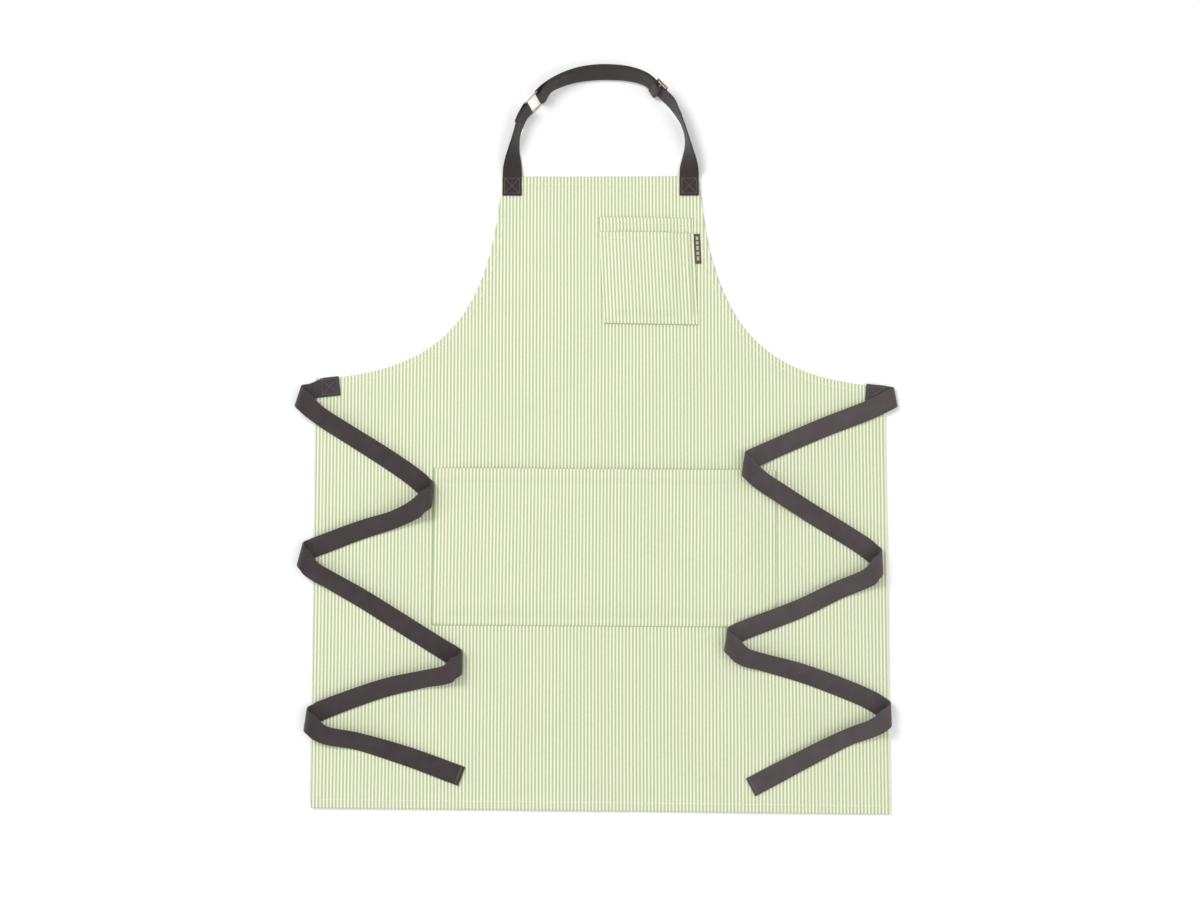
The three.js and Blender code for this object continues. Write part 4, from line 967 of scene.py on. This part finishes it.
# ---------------------------------------------------------------- the cloth
def edge_columns():
    """Each column of the cloth as its x in the bib (or its armhole place) on both sides."""
    bib = spread(-BIB_WIDTH / 2 + HEM_WIDTH, BIB_WIDTH / 2 - HEM_WIDTH, 44)
    rim = [-BIB_WIDTH / 2, -BIB_WIDTH / 2 + 0.002, -BIB_WIDTH / 2 + 0.0065, -BIB_WIDTH / 2 + 0.0115]
    bib = rim + bib + [-x for x in reversed(rim)]
    columns = [(x, APRON_LENGTH) for x in bib]
    for side in (1, -1):
        curve = [armhole_point(side, t / 36) for t in range(1, 37)]
        flat = [side * (HALF_SKIRT - d) for d in (0.020, 0.0125, 0.0115, 0.007, 0.002, 0.0)]
        outer = [(p.x, p.y) for p in curve] + [(x, WAIST_HEIGHT[side]) for x in flat]
        columns = columns + outer if side > 0 else outer[::-1] + columns
    return columns


def edge_distance(x, y, columns):
    """Distance in from the nearest hem."""
    distance = min(HALF_SKIRT - abs(x), y - hem_line(x))
    side = 1 if x > 0 else -1
    if y < WAIST_HEIGHT[side] - 0.03:
        return distance
    for px, py in columns:
        if abs(px - x) < 0.03 and abs(py - y) < 0.03:
            distance = min(distance, math.hypot(px - x, py - y))
    return distance


class ApronClothOperator(Operator):
    """Lays the hemmed cloth of the bib and skirt on the table."""

    bl_idname = "object.apron_cloth"
    bl_label = "Apron Cloth"

    def execute(self, context):
        columns = edge_columns()
        fine = []
        for a, b in zip(columns, columns[1:]):
            fine += [(a[0] + (b[0] - a[0]) * k / 5, a[1] + (b[1] - a[1]) * k / 5) for k in range(5)]
        fine.append(columns[-1])
        shares = [0.0, 0.003, 0.008, 0.0135, 0.0155]
        rows = shares + spread(0.024, 0.976, 88) + [1 - s for s in reversed(shares)]
        tops = dict(enumerate(y for _, y in columns))
        xs = [x for x, _ in columns]

        def at(i, share):
            low = hem_line(xs[i])
            return xs[i], low + (tops[i] - low) * share

        def thickness(i, share):
            x, y = at(i, share)
            inside = edge_distance(x, y, fine)
            return CLOTH + HEM_RISE * (1 - smoothstep(inside - 0.0118, 0.0012))

        def bottom(i, share):
            x, y = at(i, share)
            inside = edge_distance(x, y, fine)
            return PANEL_BOTTOM - 0.0006 * (1 - smoothstep(inside - 0.004, 0.010))

        material = shared("striped_canvas", canvas_material)
        cloth = cloth_slab(
            "apron_cloth", range(len(xs)), rows, at, bottom, thickness, at, material
        )
        outward(cloth)
        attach(cloth, "apron")
        hems = ["bottom_hem", "top_hem", "side_hem_left", "side_hem_right"]
        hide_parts("body_panel", *hems, "armhole_facing_left", "armhole_facing_right")
        return {"FINISHED"}


# ---------------------------------------------------------------- pockets
def hem_marks(low, high, hem):
    """Row places of a layer with a stitched hem along its top."""
    fold = high - hem
    return spread(low, fold - 0.0012, 44) + [fold + 0.0002, fold + 0.002] + spread(high - hem / 2, high, 4)


class ApronPocketsOperator(Operator):
    """Sews on the two layers of the chest pocket and the wide lap pocket."""

    bl_idname = "object.apron_pockets"
    bl_label = "Apron Pockets"

    def execute(self, context):
        material = shared("striped_canvas", canvas_material)
        half, pen = CHEST_WIDTH / 2, PEN_LINE
        body = spread(-half, pen - PEN_MARGIN, 30)
        rear_columns = body + [pen, pen + PEN_MARGIN, half - SEAM_MARGIN, half]
        arch = spread(pen + PEN_MARGIN, half - SEAM_MARGIN, 12)
        front_columns = body + [pen - 0.0004, pen + 0.0004] + arch + [half - SEAM_MARGIN / 2, half]
        lap_columns = spread(-LAP_WIDTH / 2, LAP_WIDTH / 2, 110)
        slack = {
            "chest_pocket_rear": (0.0, 1.0), "chest_pocket_front": (0.0009, 5.0), "lap_pocket": (0.0014, 9.0),
        }

        def sewn(name, columns, height, hem, at, bottom, width):
            fold, seed = slack[name]

            def fullness(x, y):
                inside = min(width / 2 - abs(x), y)
                soft = noise.noise(Vector((x * 15 + seed, y * 12, seed))) + 0.55
                return fold * soft * smoothstep(inside, 0.05)

            rows = hem_marks(0.0, height, hem)
            layer = cloth_slab(
                name + "_cloth", columns, rows, at,
                lambda x, y: bottom(x, y) + fullness(x, y),
                lambda x, y: CLOTH + POCKET_HEM_RISE * smoothstep(y - (height - hem), 0.0012)
                + 0.0005 * (1 - smoothstep(min(width / 2 - abs(x), y) - 0.0068, 0.0014)),
                lambda x, y: (x + seed * 0.0003, y), material,
            )
            outward(layer)
            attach(layer, "apron")
            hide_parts(name)

        for name, columns, height, bottom in (
            ("chest_pocket_rear", rear_columns, CHEST_REAR_HEIGHT, chest_rear_bottom),
            ("chest_pocket_front", front_columns, CHEST_FRONT_HEIGHT, chest_front_bottom),
        ):
            sewn(name, columns, height, CHEST_HEM, chest_point, bottom, CHEST_WIDTH)
        sewn("lap_pocket", lap_columns, LAP_HEIGHT, LAP_HEM, lap_point, lap_bottom, LAP_WIDTH)
        return {"FINISHED"}


# ---------------------------------------------------------------- webbing
class ApronNeckLoopOperator(Operator):
    """Makes the neck loop: the short strap to the ring, the long strap, and its return to the slider."""

    bl_idname = "object.apron_neck_loop"
    bl_label = "Apron Neck Loop"

    def execute(self, context):
        material = shared("neck_webbing", webbing_material, tuple(context.scene.bib_apron.webbing_neck))
        outgoing, returning = long_strap_runs()
        runs = {
            "short_strap": (short_strap_stations(), ("neck_end_left", "neck_strap_short")),
            "long_strap": (outgoing, ("neck_end_right", "neck_strap_long")),
            "return_strap": (returning, ("slider_end_loop",)),
        }
        for name, (stations, nodes) in runs.items():
            laid = squared(resampled(on_apron(stations), NECK_RING, 2))
            strap = webbing(name, laid, material)
            if name == "return_strap":
                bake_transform(strap)
            else:
                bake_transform(strap)
            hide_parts(*nodes)
        return {"FINISHED"}


TIE_RING = 0.0011
NECK_RING = 0.0008


class ApronTiesOperator(Operator):
    """Lays the two waist ties to and fro over the skirt."""

    bl_idname = "object.apron_ties"
    bl_label = "Apron Waist Ties"

    def execute(self, context):
        settings = context.scene.bib_apron
        dark = shared("left_tie_webbing", webbing_material, tuple(settings.webbing_left))
        light = shared("right_tie_webbing", webbing_material, tuple(settings.webbing_right))
        for side, word, route, material in ((-1, "left", LEFT_ROUTE, dark), (1, "right", RIGHT_ROUTE, light)):
            sewn, free = tie_runs(route, side)
            sewn = [Station(place(*s.point), s.across) for s in clear_of_skirt(resampled(sewn, 0.0012))]
            free = [Station(place(*s.point), s.across) for s in free]
            fine = resampled([sewn[-1], *free[1:]], TIE_RING)
            start = webbing(f"tie_{word}_end", sewn, material)
            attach(start, "apron")
            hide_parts(f"waist_end_{word}", f"tie_{word}_start")
            tie = webbing(f"tie_{word}_webbing", fine, material)
            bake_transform(tie)
            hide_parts(f"tie_{word}")
        return {"FINISHED"}


# ---------------------------------------------------------------- brass
def laid_out(piece, right, upwards, facing, origin):
    """Turns a piece modelled at the origin into its place, and leaves it unturned there."""
    turn = Matrix((right, upwards, facing)).transposed().to_4x4()
    piece.matrix_world = Matrix.Translation(origin) @ turn
    select_only(piece)
    bpy.ops.object.transform_apply(location=True, rotation=True, scale=True)


def block(size, centre):
    bpy.ops.object.select_all(action="DESELECT")
    bpy.ops.mesh.primitive_cube_add(size=1, location=centre, scale=size)
    bpy.ops.object.transform_apply(location=True, rotation=True, scale=True)
    return bpy.context.object


def united(pieces, operation="UNION"):
    first = pieces[0]
    for other in pieces[1:]:
        select_only(first)
        cut = first.modifiers.new("join", "BOOLEAN")
        cut.operation, cut.solver, cut.object = operation, "EXACT", other
        bpy.ops.object.modifier_apply(modifier=cut.name)
        bpy.data.objects.remove(other)
    return first


class ApronBrassOperator(Operator):
    """Makes the wire ring and the pressed slider of the neck loop."""

    bl_idname = "object.apron_brass"
    bl_label = "Apron Brass Fittings"

    def execute(self, context):
        brass = shared("aged_brass", brass_material)
        web = context.scene.bib_apron.web_width
        half_width = web / 2 + GAP + 0.0007 + WIRE / 2
        bpy.ops.object.select_all(action="DESELECT")
        bpy.ops.mesh.primitive_plane_add(size=1)
        ring = context.object
        ring.name = "strap_ring_wire"
        ring.scale = (RING_LENGTH - WIRE, 2 * half_width, 1)
        bpy.ops.object.transform_apply(location=True, rotation=True, scale=True)
        bpy.ops.object.mode_set(mode="EDIT")
        bpy.ops.mesh.select_all(action="SELECT")
        bpy.ops.mesh.bevel(offset=0.0028, segments=8, affect="VERTICES")
        bpy.ops.mesh.delete(type="ONLY_FACE")
        bpy.ops.object.mode_set(mode="OBJECT")
        bpy.ops.object.convert(target="CURVE")
        ring = context.object
        ring.data.bevel_depth = WIRE / 2
        ring.data.bevel_resolution = 4
        bpy.ops.object.convert(target="MESH")
        ring = context.object
        select_only(ring)
        bpy.ops.object.shade_smooth()
        laid_out(ring, RING_DIRECTION, RING_ACROSS, RING_FACE, place(*RING_CENTRE))
        outward(ring)
        ring.data.materials.clear()
        ring.data.materials.append(brass)
        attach(ring, "ring")
        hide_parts("strap_ring")

        rail = web / 2 + GAP + 0.0005 + WIRE / 2
        wide = 2 * rail + WIRE
        long = SLIDER_LENGTH
        plate = block((long, wide, WIRE), (0, 0, PLATE_OFFSET))
        window = block((long - 2 * WIRE, wide - 2 * WIRE, WIRE * 2), (0, 0, PLATE_OFFSET))
        plate = united([plate, window], "DIFFERENCE")
        drop = PLATE_OFFSET + CENTRE_BAR_SETBACK
        parts = [plate, block((WIRE, wide, WIRE), (0, 0, -CENTRE_BAR_SETBACK))]
        for end in (-1, 1):
            middle = (PLATE_OFFSET - CENTRE_BAR_SETBACK) / 2
            parts.append(block((WIRE, WIRE, drop + WIRE), (0, end * rail, middle)))
        slider = united(parts)
        slider.name = "slider_plate"
        select_only(slider)
        soft = slider.modifiers.new("soften", "BEVEL")
        soft.width, soft.segments, soft.limit_method = 0.00055, 4, "ANGLE"
        bpy.ops.object.modifier_apply(modifier=soft.name)
        bpy.ops.object.shade_smooth_by_angle(angle=math.radians(40))
        laid_out(slider, SLIDER_DIRECTION, -SLIDER_ACROSS, SLIDER_FACE, place(*SLIDER_CENTRE))
        slider.data.materials.clear()
        slider.data.materials.append(brass)
        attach(slider, "slider_unit")
        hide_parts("slider")
        return {"FINISHED"}


# ---------------------------------------------------------------- stitching
def one_stitch(material):
    """A single stitch, lying along x with both ends drawn down into the cloth."""
    bpy.ops.object.select_all(action="DESELECT")
    bpy.ops.mesh.primitive_uv_sphere_add(segments=8, ring_count=6, radius=0.5)
    stitch = bpy.context.object
    stitch.rotation_euler = (0, math.radians(90), 0)
    bpy.ops.object.transform_apply(location=False, rotation=True, scale=False)
    stitch.scale = (0.0027, 0.00062, 0.00050)
    bpy.ops.object.transform_apply(location=False, rotation=False, scale=True)
    bpy.ops.object.shade_smooth()
    stitch.data.materials.append(material)
    return stitch


def row_of_stitches(name, stitch, seams, body, nodes):
    """Copies the stitch along seams, each a list of (point, along, normal), and joins the copies."""
    copies = []
    for point, along, normal in seams:
        right = along.normalized()
        side = normal.cross(right).normalized()
        turn = Matrix((right, side, right.cross(side))).transposed().to_4x4()
        copy = stitch.copy()
        copy.data = stitch.data.copy()
        bpy.context.scene.collection.objects.link(copy)
        copy.matrix_world = Matrix.Translation(point) @ turn
        copies.append(copy)
    if not copies:
        raise RuntimeError(f"no stitches in {name}")
    select_only(*copies)
    bpy.ops.object.join()
    bpy.ops.object.transform_apply(location=True, rotation=True, scale=True)
    seam = bpy.context.object
    seam.name = name
    if body:
        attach(seam, body)
    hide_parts(*nodes)
    return seam


def along_line(points, height, pitch):
    """Stitch places along a chain of (x, y) of the apron, `height` giving the surface under them."""
    places, left = [], pitch / 2
    for (ax, ay), (bx, by) in zip(points, points[1:]):
        span = math.hypot(bx - ax, by - ay)
        while left <= span:
            t = left / span
            x, y = ax + (bx - ax) * t, ay + (by - ay) * t
            step = 0.0008
            dx, dy = (bx - ax) / span * step, (by - ay) / span * step
            rise = height(x + dx, y + dy) - height(x - dx, y - dy)
            along = Vector((2 * dx, 2 * dy, rise))
            places.append((place(x, y, height(x, y) + 0.00012), along, UP))
            left += pitch
        left -= span
    return places


def chain(low, high, count=40):
    return [tuple(a + (b - a) * i / count for a, b in zip(low, high)) for i in range(count + 1)]


def three_sides(edge, seam, top):
    """Down one side of a pocket, along its bottom and up the other."""
    corners = [(-edge, top - 0.002), (-edge, seam), (edge, seam), (edge, top - 0.002)]
    return [point for a, b in zip(corners, corners[1:]) for point in chain(a, b)]


class ApronStitchingOperator(Operator):
    """Sews the hems, pockets, strap ends and tie ends."""

    bl_idname = "object.apron_stitching"
    bl_label = "Apron Stitching"

    def execute(self, context):
        pitch = context.scene.bib_apron.stitch_pitch
        cream = one_stitch(shared("thread_cream", thread_material, (0.88, 0.86, 0.76)))
        cream.name = "stitch_cream"
        dark = one_stitch(shared("thread_dark", thread_material, (0.020, 0.016, 0.016)))
        dark.name = "stitch_dark"
        top = lambda x, y: PANEL_TOP + HEM_RISE + rumple(x, y)
        line = HEM_WIDTH - STITCH_INSET
        side = HALF_SKIRT - line
        hems = {
            "bottom_hem_thread": [(-side, hem_line(-side) + line), (side, hem_line(side) + line)],
            "side_hem_thread_left": [(-side, line + LAY_SKEW), (-side, WAIST_HEIGHT[-1] - 0.030)],
            "side_hem_thread_right": [(side, line + LAY_SKEW), (side, WAIST_HEIGHT[1] - 0.030)],
            "top_hem_thread": [(-0.1, APRON_LENGTH - line), (0.1, APRON_LENGTH - line)],
        }
        for name, points in hems.items():
            row_of_stitches(name + "_cream", cream, along_line(points, top, pitch), "apron", [name])
        for hand, word in ((-1, "left"), (1, "right")):
            run = [armhole_point(hand, t / 60) for t in range(61)]
            inset = []
            for a, b in zip(run, run[1:]):
                along = (b - a).normalized()
                inward = Vector((along.y, -along.x, 0)) * hand
                inset.append((a + b) / 2 + inward * (line - 0.002))
            clear = [
                (p.x, p.y) for p in inset
                if p.y < APRON_LENGTH - 0.033 and abs(p.x) < HALF_SKIRT - 0.036
            ]
            name = f"armhole_thread_{word}"
            row_of_stitches(name + "_cream", cream, along_line(clear, top, pitch), "apron", [name])
        self.pockets(cream, pitch)
        self.ends(dark)
        for stitch in (cream, dark):
            bpy.data.objects.remove(stitch)
        return {"FINISHED"}

    def pockets(self, cream, pitch):
        half, seam = CHEST_WIDTH / 2, 0.0022
        front, rear = CHEST_FRONT_HEIGHT, CHEST_REAR_HEIGHT
        chest = lambda bottom, tall: lambda x, y: bottom(*chest_local(x, y)) + CLOTH + rumple(x, y) + (
            POCKET_HEM_RISE if chest_local(x, y)[1] > tall - CHEST_HEM else 0.0
        )
        on_front, on_rear = chest(chest_front_bottom, front), chest(chest_rear_bottom, rear)
        on_lap = lambda x, y: lap_bottom(*lap_local(x, y)) + CLOTH + rumple(x, y) + lap_slack(x, y)
        rear_hem, front_hem = (tall - POCKET_HEM / 2 - 0.0004 for tall in (rear, front))
        hem_start, hem_stop = -half + 0.004, half - 0.004
        lap_edge, lap_hem = LAP_WIDTH / 2 - seam, LAP_HEIGHT - POCKET_HEM
        for row, nodes, points, to_apron, height in (
            ("chest_seam", "chest_pocket_seam", three_sides(half - seam, seam, front), chest_point, on_front),
            ("chest_rear_hem", "chest_rear_hem", chain((hem_start, rear_hem), (hem_stop, rear_hem)),
             chest_point, on_rear),
            ("pen_slot", "pen_slot", chain((PEN_LINE, SEAM_MARGIN), (PEN_LINE, front - 0.003)),
             chest_point, on_front),
            ("chest_front_hem", "chest_front_hem",
             chain((hem_start, front_hem), (PEN_LINE - 0.001, front_hem)), chest_point, on_front),
            ("lap_seam", "lap_pocket_seam", three_sides(lap_edge, seam, LAP_HEIGHT), lap_point, on_lap),
            ("lap_hem", "lap_pocket_hem", chain((-lap_edge + 0.001, lap_hem), (lap_edge - 0.001, lap_hem)),
             lap_point, on_lap),
        ):
            line = along_line([to_apron(x, y) for x, y in points], height, pitch)
            row_of_stitches(row + "_cream", cream, line, "apron", [nodes + "_thread"])

    def ends(self, dark):
        inset = STITCH_INSET
        long, wide = SEWN_LENGTH / 2 - inset, HALF_STITCHED_WEB - inset
        box = [(-long, -wide), (long, -wide), (long, wide), (-long, wide), (-long, -wide), (long, wide)]
        box_and_cross = [*box, (-long, wide), (long, -wide)]
        above = WEB_THICK + GAP
        sewn_middle = APRON_LENGTH + SEWN_OVERHANG - SEWN_LENGTH / 2
        ends = {
            "neck_end_left": (-BIB_WIDTH / 2 + HALF_STITCHED_WEB, sewn_middle, math.pi / 2),
            "neck_end_right": (BIB_WIDTH / 2 - HALF_STITCHED_WEB, sewn_middle, math.pi / 2),
        }
        for side, word in ((-1, "left"), (1, "right")):
            heading, sewn = tie_root(side)
            ends[f"waist_end_{word}"] = (sewn.x, sewn.y, math.atan2(heading.y, heading.x))
        for name, (cx, cy, turn) in ends.items():
            cos, sin = math.cos(turn), math.sin(turn)
            points = [(cx + a * cos - b * sin, cy + a * sin + b * cos) for a, b in box_and_cross]
            height = lambda x, y: PANEL_TOP + HEM_RISE + rumple(x, y) + above + 0.0003
            line = along_line(points, height, 0.0029)
            row_of_stitches(name + "_stitches", dark, line, "apron", [name + "_stitching"])
        short = on_apron(short_strap_stations())
        loop = on_apron(end_loop_stations())
        for name, stations, body, index in (
            ("short_strap_bar_tack", short, "neck_loop", -3),
            ("slider_loop_bar_tack", loop, "slider_unit", -2),
        ):
            self.tack(name, stations, index, dark, body, 1)
        for side, word, route in ((-1, "left", LEFT_ROUTE), (1, "right", RIGHT_ROUTE)):
            _, free = tie_runs(route, side)
            free = [Station(place(*s.point), s.across) for s in free]
            fine = resampled(free, TIE_RING)
            self.tack(f"tie_{word}_end_stitching", fine, -5, dark, f"{word}_tie", None)

    def tack(self, name, stations, index, dark, body, face):
        """A row of stitches side by side across a strap."""
        station = stations[index]
        tangent = tangents_of(stations)[index]
        normal = tangent.cross(station.across).normalized()
        if face is None and normal.z < 0:
            normal = -normal
        places = []
        for share in spread(-0.8, 0.8, 16):
            sideways = station.across * (HALF_STITCHED_WEB * share)
            point = station.point + sideways + normal * (WEB_THICK / 2 + THREAD_LIFT)
            places.append((point, tangent, normal))
        row_of_stitches(name + "_stitches", dark, places, body, [name])


def lap_slack(x, y):
    """The lap pocket's own fullness, as its cloth has it."""
    lx, ly = lap_local(x, y)
    inside = min(LAP_WIDTH / 2 - abs(lx), ly)
    soft = noise.noise(Vector((lx * 15 + 9.0, ly * 12, 9.0))) + 0.55
    return 0.0014 * soft * smoothstep(inside, 0.05)


# ---------------------------------------------------------------- label
def divide(piece, cuts):
    """Cuts every edge of a piece into cuts + 1."""
    select_only(piece)
    bpy.ops.object.mode_set(mode="EDIT")
    bpy.ops.mesh.select_all(action="SELECT")
    bpy.ops.mesh.subdivide(number_cuts=cuts)
    bpy.ops.object.mode_set(mode="OBJECT")


class ApronLabelOperator(Operator):
    """Makes the folded label caught in the chest pocket's side seam."""

    bl_idname = "object.apron_label"
    bl_label = "Apron Label"

    def execute(self, context):
        cloth = shared("label_weave", label_material, (0.115, 0.092, 0.090))
        pale = shared("label_thread", label_material, (0.62, 0.55, 0.36))
        label = block((0.008, 0.040, 0.0007), (0.0043, -0.020, 0))
        label.name = "label_cloth_loop"
        select_only(label)
        divide(label, 9)
        soft = label.modifiers.new("soften", "BEVEL")
        soft.width, soft.segments = 0.00032, 3
        bpy.ops.object.modifier_apply(modifier=soft.name)
        bpy.ops.object.shade_smooth_by_angle(angle=math.radians(50))
        bars = [block((0.0032, length, 0.00022), (0.0042, y, 0.00045)) for y, length in (
            (-0.0060, 0.0042), (-0.0122, 0.0042), (-0.0190, 0.0052), (-0.0262, 0.0042), (-0.0330, 0.0052),
        )]
        select_only(*bars)
        bpy.ops.object.join()
        marks = context.object
        marks.name = "label_woven_bars"
        divide(marks, 4)
        x, y = 0.1218 - ORIGIN.x, 0.2663 - ORIGIN.y
        turn = Matrix.Rotation(math.radians(2.6), 4, "Z")
        origin = place(x, y, PANEL_TOP + 0.00065 + rumple(x, y))
        for piece, material in ((label, cloth), (marks, pale)):
            piece.matrix_world = Matrix.Translation(origin) @ turn
            select_only(piece)
            bpy.ops.object.transform_apply(location=True, rotation=True, scale=True)
            piece.data.materials.clear()
            piece.data.materials.append(material)
            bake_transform(piece)
        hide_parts("pocket_label")
        return {"FINISHED"}


# ---------------------------------------------------------------- stage
def area_light(name, place_at, aim, size, energy):
    bpy.ops.object.light_add(type="AREA", location=place_at)
    lamp = bpy.context.object
    lamp.name = name
    lamp.rotation_euler = (Vector(aim) - Vector(place_at)).to_track_quat("-Z", "Y").to_euler()
    lamp.data.shape, lamp.data.size, lamp.data.energy = "SQUARE", size, energy
    return lamp


class ApronStageOperator(Operator):
    """Sets the pale table top, the soft studio lights and the camera."""

    bl_idname = "object.apron_stage"
    bl_label = "Apron Stage"

    def execute(self, context):
        settings, scene = context.scene.bib_apron, context.scene
        bpy.ops.object.select_all(action="DESELECT")
        bpy.ops.mesh.primitive_plane_add(size=TABLE_SIZE, location=(0, 0, TABLE_LEVEL))
        floor = context.object
        floor.name = "table_top"
        white, shader = new_material("table_white")
        shader.inputs["Base Color"].default_value = (0.93, 0.93, 0.93, 1)
        shader.inputs["Roughness"].default_value = 0.9
        floor.data.materials.append(white)
        key = area_light("key_light", (-1.9, 1.5, 2.9), (0, 0, 0), 1.3, 62)
        fill = area_light("fill_light", (2.2, -1.2, 3.2), (0, 0, 0), 2.6, 30)
        world = scene.world or bpy.data.worlds.new("studio")
        scene.world = world
        world.use_nodes = True
        background = world.node_tree.nodes["Background"]
        background.inputs["Color"].default_value = (1, 1, 1, 1)
        background.inputs["Strength"].default_value = 0.74
        bpy.ops.object.camera_add(location=settings.camera_place, rotation=(settings.camera_tip, 0, 0))
        camera = context.object
        camera.name = "view_camera"
        camera.data.lens, camera.data.sensor_width = settings.lens, 36
        scene.camera = camera
        scene.view_settings.view_transform = "Standard"
        scene.view_settings.look = "None"
        return {"FINISHED"}


# ---------------------------------------------------------------- add-on
class ApronPanel(Panel):
    """The apron's settings and its steps."""

    bl_label = "Bib Apron"
    bl_idname = "VIEW3D_PT_bib_apron"
    bl_space_type = "VIEW_3D"
    bl_region_type = "UI"
    bl_category = "Apron"

    def draw(self, context):
        settings = context.scene.bib_apron
        for name in (
            "web_width", "stripe_pitch", "green", "cream",
            "webbing_neck", "webbing_left", "webbing_right", "stitch_pitch",
        ):
            self.layout.prop(settings, name)
        for operator in OPERATORS:
            self.layout.operator(operator.bl_idname)


OPERATORS = (
    ApronClothOperator,
    ApronPocketsOperator,
    ApronNeckLoopOperator,
    ApronTiesOperator,
    ApronBrassOperator,
    ApronStitchingOperator,
    ApronLabelOperator,
    ApronStageOperator,
)
CLASSES = (BibApronSettings, *OPERATORS, ApronPanel)


def register():
    for cls in CLASSES:
        bpy.utils.register_class(cls)
    bpy.types.Scene.bib_apron = PointerProperty(type=BibApronSettings)


def unregister():
    del bpy.types.Scene.bib_apron
    for cls in reversed(CLASSES):
        bpy.utils.unregister_class(cls)


def main():
    register()
    bpy.ops.object.apron_cloth()
    bpy.ops.object.apron_pockets()
    bpy.ops.object.apron_neck_loop()
    bpy.ops.object.apron_ties()
    bpy.ops.object.apron_brass()
    bpy.ops.object.apron_stitching()
    bpy.ops.object.apron_label()
    bpy.ops.object.apron_stage()
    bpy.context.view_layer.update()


if __name__ == "__main__":
    main()
